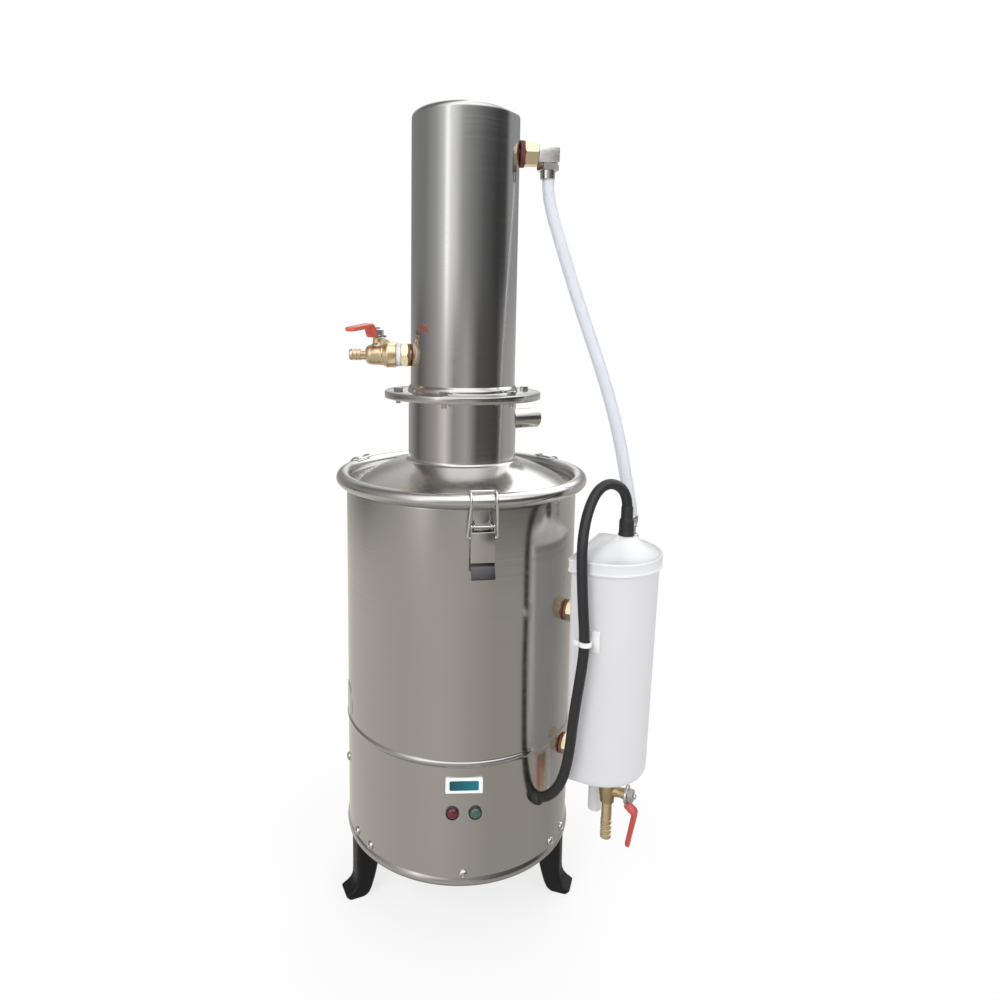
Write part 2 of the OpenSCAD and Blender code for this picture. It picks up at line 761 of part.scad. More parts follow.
module inlet_nipple() {
    color(brass) radial(-90, inlet_z) outward(cond_r) difference() {
        union() {
            translate([0, 0, -6]) cylinder(h = 6 + inlet_body + 8, r = 8);
            translate([0, 0, inlet_seat]) rotate([0, 0, 30]) hex(inlet_af, inlet_hex);
        }
        translate([0, 0, -7]) cylinder(h = inlet_body + 20, r = 5);
    }
}

module inlet_seal() {
    color("#f2f2ee") radial(-90, inlet_z) outward(cond_r + inlet_band)
        ring(inlet_af / 2 + fit, 8 + fit, seal_band);
}

// Hose barb along X: a plain root, then ribs that taper toward the end.
module barb(len, root_r, rib_r, bore) {
    ribs = 3;
    root = len * 0.34;
    pitch = (len - root) / ribs;
    rotate([0, 90, 0]) rotate_extrude() polygon(concat(
        [[bore, 0], [root_r, 0], [root_r, root]],
        [for (i = [0:ribs - 1], p = [[rib_r, root + pitch * i], [root_r, root + pitch * (i + 1)]]) p],
        [[bore, len]]
    ));
}

// Ball valve body with its flow along X from x = 0 and its stem up Z at x = stem.
module ball_valve(collar, collar_d, house, house_d, stem, bonnet, bonnet_r, ball_d, stem_d,
        bore, thread_r, thread) {
    difference() {
        union() {
            rotate([0, 90, 0]) cylinder(h = collar, d = collar_d);
            translate([collar, 0, 0]) rotate([0, 90, 0]) cylinder(h = house, d = house_d);
            translate([stem, 0, 0]) cylinder(h = bonnet, r = bonnet_r);
        }
        translate([-1, 0, 0]) rotate([0, 90, 0]) cylinder(h = collar + house + 2, r = bore);
        translate([-1, 0, 0]) rotate([0, 90, 0]) cylinder(h = thread + 1, r = thread_r);
        translate([stem, 0, 0]) sphere(d = ball_d + 2 * free);
        translate([stem, 0, 0]) cylinder(h = bonnet + 1, r = stem_d / 2 + run);
    }
}

// Ball with its bore along X and its stem up Z.
module ball_and_stem(ball_d, stem_d, bore, top) {
    difference() {
        union() {
            sphere(d = ball_d);
            cylinder(h = top, d = stem_d);
        }
        rotate([0, 90, 0]) cylinder(h = ball_d + 2, r = bore, center = true);
    }
}

// Cranked lever on a stem up Z: a round hub, a step up and a grip along X that dips toward its end.
module valve_lever(len, stem_d, rise, dip) {
    t = grip_t;
    foot = hub_d / 2 + 1;
    top = foot + step_run;
    tip = rise - (len - top) * tan(dip);
    difference() {
        intersection() {
            slab(hub_d + 2) polygon([
                [-hub_d, 0], [foot, 0], [top, rise], [len + 1, tip],
                [len + 1, tip + grip_body], [top - 1, rise + grip_body], [foot - 2, t], [-hub_d, t]
            ]);
            linear_extrude(40, center = true) {
                circle(d = hub_d);
                translate([0, -grip_w / 2]) square([len - grip_w / 2, grip_w]);
                translate([len - grip_w / 2, 0]) circle(d = grip_w);
            }
        }
        translate([0, 0, -1]) cylinder(h = t + 2, r = stem_d / 2 + fit / 2);
    }
}

// Frame of the inlet valve's stem: Z along the stem, X along the grip.
module inlet_frame() {
    radial(-90, inlet_z) translate([cond_r + inlet_body + inlet_stem, 0, 0])
        rotate([0, 0, inlet_turn]) children();
}

// Frame of the drain valve: flow down, stem outward.
module drain_frame() {
    radial(cup_az, cup_z) translate([drain_at, 0, 0]) rotate([0, 90, 0]) children();
}

module inlet_valve() {
    color(brass) radial(-90, inlet_z) translate([cond_r + inlet_body, 0, 0]) {
        ball_valve(inlet_collar, inlet_collar_d, inlet_house, inlet_house_d, inlet_stem, inlet_bonnet, 5,
            inlet_ball, inlet_stem_d, 4, 8 + fit, 9);
        slab(inlet_lug / 2) polygon([
            [inlet_stem - 4, inlet_house_d / 2 - 2], [inlet_stem - 4, inlet_bonnet],
            [inlet_stem - inlet_lug, inlet_bonnet - 1], [inlet_stem - inlet_lug - 3, inlet_house_d / 2 - 2]
        ]);
        translate([inlet_collar + inlet_house, 0, 0])
            barb(inlet_barb, inlet_barb_d / 2 - 1, inlet_barb_d / 2, 4);
    }
}

module inlet_ball() {
    color(nickel) inlet_frame()
        ball_and_stem(inlet_ball, inlet_stem_d, 4, inlet_bonnet + free + grip_t + stem_end);
}

module inlet_lever() {
    color(red) inlet_frame() translate([0, 0, inlet_bonnet + free])
        valve_lever(inlet_lever_len, inlet_stem_d, inlet_step, inlet_dip);
}

module inlet_lever_nut() {
    color(nickel) inlet_frame() translate([0, 0, inlet_bonnet + free + grip_t])
        hex_nut(lever_nut_af, lever_nut_h, inlet_stem_d / 2 + fit / 2);
}

module outlet_nipple() {
    color(brass) radial(90, outlet_z) outward(cond_r) difference() {
        union() {
            translate([0, 0, -6]) cylinder(h = 6 + outlet_washer_t + outlet_hex, r = 6.5);
            translate([0, 0, outlet_washer_t]) rotate([0, 0, 30]) hex(outlet_af, outlet_hex);
        }
        translate([0, 0, -7]) cylinder(h = 40, r = 4);
    }
}

module outlet_elbow() {
    x = cond_r + outlet_washer_t + outlet_hex;
    w = elbow_w;
    top = elbow_h / 2;
    b = 2;
    color(nickel) radial(90, outlet_z) difference() {
        slab(w - 2) polygon([
            [x, -top], [x + w, -top], [x + w, top - 3 * b], [x + w - 3 * b, top], [x, top]
        ]);
        outward(x - 1) cylinder(h = w / 2 + 1, r = elbow_bore);
        translate([x + w / 2, 0, -w]) cylinder(h = w, r = elbow_bore);
    }
}

module outlet_nut() {
    x = cond_r + outlet_washer_t + outlet_hex + elbow_w / 2;
    color(nickel) radial(90, outlet_z - elbow_h / 2) translate([x, 0, 0]) difference() {
        union() {
            translate([0, 0, -outlet_nut_h]) hex(outlet_nut_af, outlet_nut_h);
            translate([0, 0, -outlet_nut_h - sleeve_h])
                cylinder(h = sleeve_h + 1, r1 = hose_d / 2 + sleeve_wall,
                    r2 = hose_d / 2 + 1.5 * sleeve_wall);
        }
        translate([0, 0, -outlet_nut_h - sleeve_h - 1])
            cylinder(h = outlet_nut_h + sleeve_h + 2, r = elbow_bore);
    }
}

// Smooth curve through the route's points, with extra points between them.
function blend(a, b, c, d, t) = 0.5 * (2 * b + (c - a) * t + (2 * a - 5 * b + 4 * c - d) * t ^ 2
    + (3 * b - a - 3 * c + d) * t ^ 3);
function curve(p, n) = [
    for (i = [0:len(p) - 2], k = [0:n - 1])
        blend(p[max(i - 1, 0)], p[i], p[i + 1], p[min(i + 2, len(p) - 1)], k / n),
    p[len(p) - 1]
];
function heading(p, i) = let (d = p[min(i + 1, len(p) - 1)] - p[max(i - 1, 0)]) d / norm(d);

// Round cord swept along a route; side is a direction that the route never follows.
module cord(route, d, side, n = 3, sides = 10) {
    p = curve(route, n);
    rings = [
        for (i = [0:len(p) - 1])
            let (t = heading(p, i), u = cross(t, side) / norm(cross(t, side)), v = cross(t, u))
            for (k = [0:sides - 1]) p[i] + d / 2 * (cos(360 * k / sides) * u + sin(360 * k / sides) * v)
    ];
    last = (len(p) - 1) * sides;
    walls = [
        for (i = [0:len(p) - 2], k = [0:sides - 1]) let (
            a = i * sides + k, b = i * sides + (k + 1) % sides
        ) each [[a, b, b + sides], [a, b + sides, a + sides]]
    ];
    ends = [[for (k = [sides - 1:-1:0]) k], [for (k = [0:sides - 1]) last + k]];
    polyhedron(rings, concat(walls, ends));
}

module return_hose() {
    color(milky) cord(hose_route, hose_d, [0, 1, 0]);
}

module probe_cable() {
    color(black) cord(cable_route, cable_d, [0.5, 0.87, 0]);
}

// Tapered D-shaped solid with its flat back at r = back.
module cup_solid(back, z, h, r1, r2) {
    translate([cup_c, 0, z]) rotate([0, 0, -90])
        rotate_extrude(angle = 180, $fn = 96) polygon([[0, 0], [r1, 0], [r2, h], [0, h]]);
    translate([back, 0, z]) rotate([90, 0, 90]) linear_extrude(cup_c - back)
        polygon([[-r1, 0], [r1, 0], [r2, h], [-r2, h]]);
}

module cup_body() {
    w = cup_wall;
    r_w = cup_base_r - w;
    color(milky, 0.7) radial(cup_az) difference() {
        union() {
            cup_solid(cup_back, cup_z, cup_chamfer, cup_base_r - cup_chamfer * 0.7, cup_base_r);
            cup_solid(cup_back, cup_z + cup_chamfer, cup_h - cup_chamfer, cup_base_r, cup_top_r);
        }
        cup_solid(cup_back + w, cup_z + w, cup_chamfer, r_w - cup_chamfer * 0.7, r_w);
        cup_solid(cup_back + w, cup_z + w + cup_chamfer, cup_h - w - cup_chamfer + 1, r_w,
            cup_top_r - w - cup_taper * (w - 1));
        for (z = nipple_z)
            translate([0, 0, z]) outward(cup_back - 1) cylinder(h = w + 8, r = nipple_d / 2 + fit);
        translate([drain_at, 0, cup_z - 1]) cylinder(h = w + 2, r = 6 + fit);
        translate([overflow_at[0], overflow_at[1], cup_z - 1]) cylinder(h = w + 2, r = overflow_d / 2 + fit);
    }
}

module cup_lid() {
    back = cup_back - fit - cup_lid_wall;
    w = cup_lid_wall;
    color(milky, 0.8) radial(cup_az) difference() {
        union() {
            cup_solid(back, lid_top - cup_lid_rim, cup_lid_rim, lid_rim_r, lid_rim_r);
            translate([cuff_r, 0, lid_top - 0.5])
                cylinder(h = cup_crown + 0.5, r1 = crown_r, r2 = crown_top_r);
        }
        cup_solid(cup_back - fit, lid_top - cup_lid_rim - 1, cup_lid_rim + 1 - w,
            cup_top_r + fit, cup_top_r + fit);
        translate([cuff_r, 0, lid_top - w - 0.5])
            cylinder(h = cup_crown, r1 = crown_r - 2, r2 = crown_top_r - 2);
        translate([cuff_r, 0, lid_top - w - 1]) cylinder(h = cup_crown + 10, r = rod_d / 2 + fit);
        translate([barb_at[0], barb_at[1], lid_top - w - 1]) cylinder(h = w + 2, r = 5 + fit);
    }
}

// Small hose fitting on the cup's lid: a threaded stub, a hexagon and a tapered sleeve.
module cup_barb() {
    color(nickel) radial(cup_az, lid_top) translate([barb_at[0], barb_at[1], 0]) difference() {
        union() {
            translate([0, 0, -cup_lid_wall - 6]) cylinder(h = cup_lid_wall + 7, r = 5);
            hex(13, 8);
            translate([0, 0, 8]) cylinder(h = barb_h - 16, r = 4.6);
            translate([0, 0, barb_h - 10]) cylinder(h = 10, r1 = 5.2, r2 = hose_d / 2 + 0.6);
        }
        translate([0, 0, -cup_lid_wall - 7]) cylinder(h = cup_lid_wall + barb_h + 10, r = 3);
    }
}

module cup_nipples() {
    color(brass)
        for (z = nipple_z)
            radial(cup_az, z) outward(boiler_r) difference() {
                union() {
                    translate([0, 0, -8]) cylinder(h = 8 + cup_gap + cup_wall + 5, d = nipple_d);
                    translate([0, 0, washer_t]) hex(nipple_af, cup_gap - washer_t);
                }
                translate([0, 0, -9]) cylinder(h = 60, r = nipple_d / 2 - 2);
            }
}

module overflow_pipe() {
    h = overflow_top - cup_z + overflow_out;
    color(milky, 0.8) radial(cup_az, cup_z - overflow_out) translate([overflow_at[0], overflow_at[1], 0])
        ring(overflow_d / 2, overflow_d / 2 - 2, h);
}

module drain_valve() {
    end = drain_collar + drain_house;
    color(brass) drain_frame() {
        ball_valve(drain_collar, drain_collar_d, drain_house, drain_house_d, drain_stem, drain_bonnet, 5.2,
            drain_ball, drain_stem_d, 3, 3, 1);
        translate([end, 0, 0]) barb(drain_barb, drain_barb_d / 2 - 1, drain_barb_d / 2, 3);
        translate([-drain_thread, 0, 0]) rotate([0, 90, 0]) ring(6, 3, drain_thread);
    }
}

module drain_ball() {
    color(nickel) drain_frame() translate([drain_stem, 0, 0])
        ball_and_stem(drain_ball, drain_stem_d, 3, drain_bonnet + free + grip_t + stem_end);
}

module drain_lever() {
    color(red) drain_frame() translate([drain_stem, 0, drain_bonnet + free])
        valve_lever(drain_lever_len, drain_stem_d, drain_step, drain_dip);
}

module drain_lever_nut() {
    color(nickel) drain_frame() translate([drain_stem, 0, drain_bonnet + free + grip_t])
        hex_nut(lever_nut_af, lever_nut_h, drain_stem_d / 2 + fit / 2);
}

// Level probe: a rod hung from the cup's lid, with a clip that stops the float.
module float_rod() {
    color(nickel) radial(cup_az) translate([cuff_r, 0, 0]) {
        translate([0, 0, float_z - rod_clip]) cylinder(h = cuff_z - float_z + rod_clip, d = rod_d);
        translate([0, 0, float_z - rod_clip]) cylinder(h = rod_clip - free / 4, d = clip_d);
        translate([0, 0, float_z + float_h + float_travel + free]) cylinder(h = rod_clip, d = clip_d);
    }
}

module float() {
    color("#f0ede4") radial(cup_az) translate([cuff_r, 0, float_z])
        ring(float_d / 2, rod_d / 2 + free, float_h);
}

module cable_cuff() {
    color(black) radial(cup_az, cuff_z) translate([cuff_r, 0, 0]) {
        cylinder(h = cuff_h / 2, r = cable_d / 2 + 2);
        translate([0, 0, cuff_h / 2]) cylinder(h = 3, r1 = cable_d / 2 + 2, r2 = cable_d / 2 + 0.7);
        cylinder(h = cuff_h, r = cable_d / 2 + 0.7);
    }
}

// Square mount on the side of the cup that faces the front.
module tie_mount() {
    mount_h = 20;
    mount_t = 2.6;
    z = cable_route[cable_tie][2];
    r = cup_base_r + cup_taper * (z + mount_h / 2 - cup_z - cup_chamfer);
    color("white") radial(cup_az, z - mount_h / 2) difference() {
        translate([cup_c - 3, -r - mount_t, 0]) cube([12, mount_t + 4, mount_h]);
        translate([0, 0, -z + mount_h / 2]) cup_solid(cup_back, cup_z + cup_chamfer, cup_h - cup_chamfer,
            cup_base_r + fit, cup_top_r + fit);
    }
}

module tie_strap() {
    w = 4.5;
    bore = cable_d / 2 + fit;
    color("white") translate(cable_route[cable_tie] - [0, 0, w / 2]) {
        ring(bore + 1.3, bore, w);
        rotate([0, 0, cup_az + 90]) translate([bore + 1, -2.5, 0]) cube([4, 5, w]);
    }
}

module cable_grommet() {
    color(black) radial(grommet_az, grommet_z) {
        outward(boiler_r) cylinder(h = 3, r = cable_d / 2 + 3);
        outward(boiler_r + 3) cylinder(h = 5, r1 = cable_d / 2 + 2, r2 = cable_d / 2 + 1);
        outward(boiler_r - 5) cylinder(h = 6, r = cable_d / 2 + 0.6);
    }
}

// Pilot lamp lens: a stem in the bezel, a disc and a low dome.
module lamp_lens(side, tint) {
    r = bezel_d / 2 - 1.4;
    h = 1.8;
    dome = (r ^ 2 + h ^ 2) / (2 * h);
    color(tint) radial(0, barrel_z + lamp_h) translate([0, side * lamp_pitch / 2, 0]) outward(boiler_r) {
        translate([0, 0, -9]) cylinder(h = 9.6, r = r - 1.4);
        translate([0, 0, 0.5]) cylinder(h = 1, r = r);
        intersection() {
            translate([0, 0, 1.5 + h - dome]) sphere(r = dome);
            translate([0, 0, 1.5]) cylinder(h = h + 1, r = r);
        }
    }
}

module lamp_bezels() {
    r = bezel_d / 2;
    color("#2a2a2c")
        for (s = [-1, 1])
            radial(0, barrel_z + lamp_h) translate([0, s * lamp_pitch / 2, 0])
            outward(boiler_r) difference() {
                union() {
                    cylinder(h = 1.8, r = r);
                    translate([0, 0, -10]) cylinder(h = 10.5, r = r - 1.7);
                }
                translate([0, 0, 0.5]) cylinder(h = 3, r = r - 1.4 + fit);
                translate([0, 0, -11]) cylinder(h = 12, r = r - 2.8 + fit);
            }
}

module name_plate() {
    color("white") intersection() {
        translate([0, 0, barrel_z + plate_mid - plate_h / 2]) ring(boiler_r + 0.8, boiler_r, plate_h);
        translate([-plate_w / 2, -boiler_r - 5, barrel_z + plate_mid - plate_h / 2])
            cube([plate_w, 30, plate_h]);
    }
}

// Gland at the back for the supply lead, with its hexagon on the barrel.
module power_gland() {
    color(black) radial(180, gland_z) outward(boiler_r) difference() {
        union() {
            hex(gland_af, gland_hex_h);
            translate([0, 0, gland_hex_h]) cylinder(h = gland_nut_h, r = gland_nut_r);
            translate([0, 0, gland_hex_h + gland_nut_h])
                cylinder(h = gland_dome_h, r1 = gland_nut_r, r2 = gland_nut_r - 2);
            translate([0, 0, -gland_tail]) cylinder(h = gland_tail + 1, r = gland_tail_r);
        }
        translate([0, 0, -gland_tail - 1])
            cylinder(h = gland_tail + gland_hex_h + gland_nut_h + gland_dome_h + 2, r = gland_bore);
    }
}

boiler_shell();
boiler_floor();
heater_tube();
heater_nuts();
base_pan();
pan_screws();
foot(-foot_az);  // foot_left
foot(foot_az);  // foot_right
foot(180);  // foot_rear
lid();
lid_seal();
flange_pad();
condenser_shell();
condenser_tubes();
drip_tray();
distillate_spout();
flange_bolts();
latch_pins();
for (i = [0:2]) {
    latch_base(latch_angles[i]);
    latch_lever(latch_angles[i]);
    latch_bail(latch_angles[i]);
}
fibre_washers();
inlet_nipple();
inlet_seal();
inlet_valve();
inlet_ball();
inlet_lever();
inlet_lever_nut();
outlet_nipple();
outlet_elbow();
outlet_nut();
return_hose();
cup_body();
cup_lid();
cup_barb();
cup_nipples();
overflow_pipe();
drain_valve();
drain_ball();
drain_lever();
drain_lever_nut();
float_rod();
float();
cable_cuff();
probe_cable();
tie_mount();
tie_strap();
cable_grommet();
lamp_lens(-1, "#a02030");  // lamp_red
lamp_lens(1, "#3f6f5f");  // lamp_green
lamp_bezels();
name_plate();
power_gland();
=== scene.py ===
import math

import bmesh
import bpy
from mathutils import Matrix, Vector


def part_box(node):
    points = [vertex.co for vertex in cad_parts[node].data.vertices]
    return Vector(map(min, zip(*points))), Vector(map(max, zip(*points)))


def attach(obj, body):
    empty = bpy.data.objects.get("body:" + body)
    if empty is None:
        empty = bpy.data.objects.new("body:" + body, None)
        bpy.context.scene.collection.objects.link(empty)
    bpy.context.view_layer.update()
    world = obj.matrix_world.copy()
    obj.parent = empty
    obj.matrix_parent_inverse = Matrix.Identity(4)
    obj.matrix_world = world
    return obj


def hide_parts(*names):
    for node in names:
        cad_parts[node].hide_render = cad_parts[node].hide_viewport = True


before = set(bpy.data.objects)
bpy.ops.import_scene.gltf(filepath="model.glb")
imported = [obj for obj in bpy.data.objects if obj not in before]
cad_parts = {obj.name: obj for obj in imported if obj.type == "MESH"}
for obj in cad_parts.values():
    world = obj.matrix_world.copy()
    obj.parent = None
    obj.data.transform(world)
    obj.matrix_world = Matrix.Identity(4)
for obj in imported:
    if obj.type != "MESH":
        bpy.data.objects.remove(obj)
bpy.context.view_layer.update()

# Camera: a close view from a little above the flange, turned three degrees to the still's front.
# The picture's middle lies off the lens axis, so the lens is shifted.
scene = bpy.context.scene
scene.view_settings.view_transform = "Standard"
camera_spot = Vector((-0.0385, -0.73475, 0.57603))
camera_turn = math.radians(3.0)
camera_tilt = math.radians(7.73)
camera_roll = math.radians(0.73)
ahead = Vector((
    math.sin(camera_turn) * math.cos(camera_tilt),
    math.cos(camera_turn) * math.cos(camera_tilt),
    -math.sin(camera_tilt),
))
level = Vector((math.cos(camera_turn), -math.sin(camera_turn), 0))
over = level.cross(ahead)
across = level * math.cos(camera_roll) + over * math.sin(camera_roll)
upward = over * math.cos(camera_roll) - level * math.sin(camera_roll)
lens = bpy.data.cameras.new("camera")
lens.lens = 26.55
lens.sensor_width = 36
lens.shift_x = 0.0379
lens.shift_y = -0.0713
camera = bpy.data.objects.new("camera", lens)
scene.collection.objects.link(camera)
camera_axes = Matrix((across, upward, -ahead)).transposed().to_4x4()
camera.matrix_world = Matrix.Translation(camera_spot) @ camera_axes
scene.camera = camera


# Cords: a translucent hose that carries warmed cooling water from the condenser down to the feed cup,
# and the rubber-sheathed cable of the level probe, from the cup's lid down into the boiler's skirt.
def finish(name, color, rough, metal=0, drift=0.05, patch=14, grain=(700, 700, 700), wear=0.05, relief=0.05,
           more={}):
    """Surface whose colour drifts slowly and whose gloss and relief carry a fine grain."""
    surface = bpy.data.materials.new(name)
    surface.use_nodes = True
    nodes = surface.node_tree.nodes
    links = surface.node_tree.links
    shader = nodes["Principled BSDF"]
    shader.inputs["Metallic"].default_value = metal
    for socket, value in more.items():
        shader.inputs[socket].default_value = value
    coords = nodes.new("ShaderNodeTexCoord")
    slow = nodes.new("ShaderNodeTexNoise")
    slow.inputs["Scale"].default_value = patch
    slow.inputs["Detail"].default_value = 3
    links.new(coords.outputs["Object"], slow.inputs["Vector"])
    tone = nodes.new("ShaderNodeMix")
    tone.data_type = "RGBA"
    tone.inputs[6].default_value = [c * (1 - drift) for c in color] + [1]
    tone.inputs[7].default_value = [min(1, c * (1 + drift)) for c in color] + [1]
    links.new(slow.outputs["Fac"], tone.inputs[0])
    links.new(tone.outputs[2], shader.inputs["Base Color"])
    stretch = nodes.new("ShaderNodeMapping")
    stretch.inputs["Scale"].default_value = grain
    links.new(coords.outputs["Object"], stretch.inputs["Vector"])
    fine = nodes.new("ShaderNodeTexNoise")
    fine.inputs["Scale"].default_value = 1
    fine.inputs["Detail"].default_value = 5
    links.new(stretch.outputs["Vector"], fine.inputs["Vector"])
    gloss = nodes.new("ShaderNodeMapRange")
    gloss.inputs["From Min"].default_value = 0.3
    gloss.inputs["From Max"].default_value = 0.7
    gloss.inputs["To Min"].default_value = max(0.02, rough - wear)
    gloss.inputs["To Max"].default_value = rough + wear
    links.new(fine.outputs["Fac"], gloss.inputs["Value"])
    links.new(gloss.outputs["Result"], shader.inputs["Roughness"])
    bump = nodes.new("ShaderNodeBump")
    bump.inputs["Strength"].default_value = relief
    bump.inputs["Distance"].default_value = 0.0003
    links.new(fine.outputs["Fac"], bump.inputs["Height"])
    links.new(bump.outputs["Normal"], shader.inputs["Normal"])
    return surface


def smooth_route(points, parts=8, passes=24):
    """Points of an even curve through the route, eased where it bends."""
    route = [Vector(p) for p in points]
    last = len(route) - 1
    line = []
    for i in range(last):
        a, b, c, d = (route[max(0, min(last, i + k))] for k in (-1, 0, 1, 2))
        for k in range(parts):
            t = k / parts
            line.append(0.5 * (2 * b + (c - a) * t + (2 * a - 5 * b + 4 * c - d) * t ** 2
                               + (3 * b - a - 3 * c + d) * t ** 3))
    line.append(route[-1])
    for _ in range(passes):
        line = [line[0]] + [(p + 2 * q + r) / 4 for p, q, r in zip(line, line[1:], line[2:])] + [line[-1]]
    return line


def lay_cord(name, route, diameter, surface):
    """Round cord along a route, from its first point back into the object at its last."""
    line = smooth_route(route)
    curve = bpy.data.curves.new(name, "CURVE")
    curve.dimensions = "3D"
    curve.bevel_depth = diameter / 2
    curve.bevel_resolution = 8
    curve.use_fill_caps = True
    spline = curve.splines.new("POLY")
    spline.points.add(len(line) - 1)
    for point, spot in zip(spline.points, line):
        point.co = (*spot, 1)
    spline.use_smooth = True
    curve.materials.append(surface)
    cord = bpy.data.objects.new(name + "_run", curve)
    scene.collection.objects.link(cord)
    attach(cord, "stand")
    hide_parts(name)
    return cord


hose_route = [
    (0.0805, 0, 0.730), (0.0805, -0.0005, 0.712), (0.082, -0.001, 0.700), (0.086, -0.004, 0.682),
    (0.092, -0.008, 0.662), (0.103, -0.016, 0.624), (0.115, -0.0245, 0.586), (0.1275, -0.0335, 0.548),
    (0.139, -0.0415, 0.510), (0.148, -0.0478, 0.473), (0.154, -0.0518, 0.440), (0.1575, -0.0542, 0.420),
    (0.160, -0.0558, 0.405), (0.1605, -0.0561, 0.393),
]
cable_route = [
    (0.1475, -0.0855, 0.408), (0.1475, -0.0855, 0.4215), (0.1425, -0.0862, 0.434), (0.1305, -0.088, 0.4395),
    (0.119, -0.0915, 0.4342), (0.1105, -0.099, 0.4225), (0.1035, -0.110, 0.4073), (0.0994, -0.1196, 0.388),
    (0.0998, -0.1228, 0.362), (0.1015, -0.1238, 0.332), (0.104, -0.124, 0.303), (0.102, -0.1235, 0.279),
    (0.0995, -0.1225, 0.256), (0.097, -0.1205, 0.232), (0.0955, -0.119, 0.208), (0.0932, -0.117, 0.184),
    (0.0888, -0.113, 0.163), (0.0815, -0.106, 0.148), (0.0735, -0.0978, 0.139), (0.066, -0.0893, 0.137),
]
hose_plastic = finish(
    "hose_plastic", (0.75, 0.78, 0.84), 0.32, drift=0.03, patch=30, relief=0.03,
    more={"Transmission Weight": 0.35, "IOR": 1.35, "Subsurface Weight": 0.2,
          "Subsurface Radius": (1, 1, 1)})
cable_rubber = finish("cable_rubber", (0.018, 0.018, 0.020), 0.42, drift=0.2, relief=0.12)
hose = lay_cord("return_hose", hose_route, 0.0115, hose_plastic)
cable = lay_cord("probe_cable", cable_route, 0.0095, cable_rubber)

# Studio: a white sweep behind, a tall bright window at the front left, a dim room at the front right
# and a warm floor, all far away. The metal shows them, and large lamps light everything else softly.
room_by_angle = [
    (-180, 1.0), (-168, 0.30), (-95, 0.29), (-66, 0.48), (-48, 0.90), (-40, 1.85), (-33, 1.20),
    (-20, 0.88), (-8, 0.48), (8, 0.34), (40, 0.14), (70, 0.06), (92, 0.08), (106, 0.42), (140, 0.40),
    (152, 0.30), (164, 0.34), (172, 1.0), (180, 1.0),
]
low_by_angle = [
    (-180, 0.5), (-140, 0.4), (-110, 0.15), (-60, 0.5), (-40, 0.95), (-22, 0.38), (5, 0.56), (28, 0.13),
    (75, 0.08), (95, 0.48), (165, 0.6), (180, 0.8),
]
low_tint = (1, 0.955, 0.93)
floor_by_angle = [
    (-180, 0.95), (-150, 0.70), (-60, 0.58), (-20, 0.62), (0, 0.56), (30, 0.46), (70, 0.46), (110, 0.40),
    (150, 0.55), (180, 0.95),
]
floor_tint = (0.97, 0.92, 0.855)
ceiling_by_angle = [
    (-180, 1.0), (-165, 0.70), (-120, 0.16), (-75, 0.35), (-35, 1.7), (35, 1.7), (80, 0.90), (110, 2.2),
    (160, 2.2), (180, 1.0),
]
under_level = 0.36
soft_level = 0.62
world = bpy.data.worlds.new("studio")
scene.world = world
world.use_nodes = True
sky = world.node_tree.nodes
wire = world.node_tree.links


def sky_ramp(stops, tint):
    """Colour round the horizon, from angles measured from the still's front."""
    ramp = sky.new("ShaderNodeValToRGB")
    while len(ramp.color_ramp.elements) < len(stops):
        ramp.color_ramp.elements.new(0.5)
    for element, (angle, level_here) in zip(ramp.color_ramp.elements, stops):
        element.position = (angle + 180) / 360
        element.color = [level_here * c for c in tint] + [1]
    return ramp


def sky_band(height, low, high):
    """0 below one height of the sky and 1 above another."""
    band = sky.new("ShaderNodeMapRange")
    band.interpolation_type = "SMOOTHSTEP"
    band.inputs["From Min"].default_value = low
    band.inputs["From Max"].default_value = high
    wire.new(height, band.inputs["Value"])
    return band.outputs["Result"]


def sky_mix(factor, below, above):
    """Mix of two colours, each a socket or a plain grey."""
    mix = sky.new("ShaderNodeMix")
    mix.data_type = "RGBA"
    wire.new(factor, mix.inputs[0])
    for socket, value in ((mix.inputs[6], below), (mix.inputs[7], above)):
        if isinstance(value, float):
            socket.default_value = (value, value, value, 1)
        else:
            wire.new(value, socket)
    return mix.outputs[2]


direction = sky.new("ShaderNodeSeparateXYZ")
wire.new(sky.new("ShaderNodeTexCoord").outputs["Generated"], direction.inputs[0])
front = sky.new("ShaderNodeMath")
front.operation = "MULTIPLY"
front.inputs[1].default_value = -1
wire.new(direction.outputs["Y"], front.inputs[0])
bearing = sky.new("ShaderNodeMath")
bearing.operation = "ARCTAN2"
wire.new(direction.outputs["X"], bearing.inputs[0])
wire.new(front.outputs[0], bearing.inputs[1])
round_about = sky.new("ShaderNodeMapRange")
round_about.inputs["From Min"].default_value = -math.pi
round_about.inputs["From Max"].default_value = math.pi
wire.new(bearing.outputs[0], round_about.inputs["Value"])
room = sky_ramp(room_by_angle, (1, 1, 1))
low = sky_ramp(low_by_angle, low_tint)
ground = sky_ramp(floor_by_angle, floor_tint)
ceiling = sky_ramp(ceiling_by_angle, (1, 1, 1))
for ramp in (room, low, ground, ceiling):
    wire.new(round_about.outputs["Result"], ramp.inputs["Fac"])
height = direction.outputs["Z"]
walls = sky_mix(sky_band(height, -0.06, 0.10), low.outputs["Color"], room.outputs["Color"])
around = sky_mix(sky_band(height, -0.85, -0.60), under_level, ground.outputs["Color"])
around = sky_mix(sky_band(height, -0.32, -0.20), around, walls)
around = sky_mix(sky_band(height, 0.27, 0.52), around, ceiling.outputs["Color"])
path = sky.new("ShaderNodeLightPath")
shown = sky.new("ShaderNodeMath")
shown.operation = "MAXIMUM"
wire.new(path.outputs["Is Camera Ray"], shown.inputs[0])
wire.new(path.outputs["Is Transmission Ray"], shown.inputs[1])
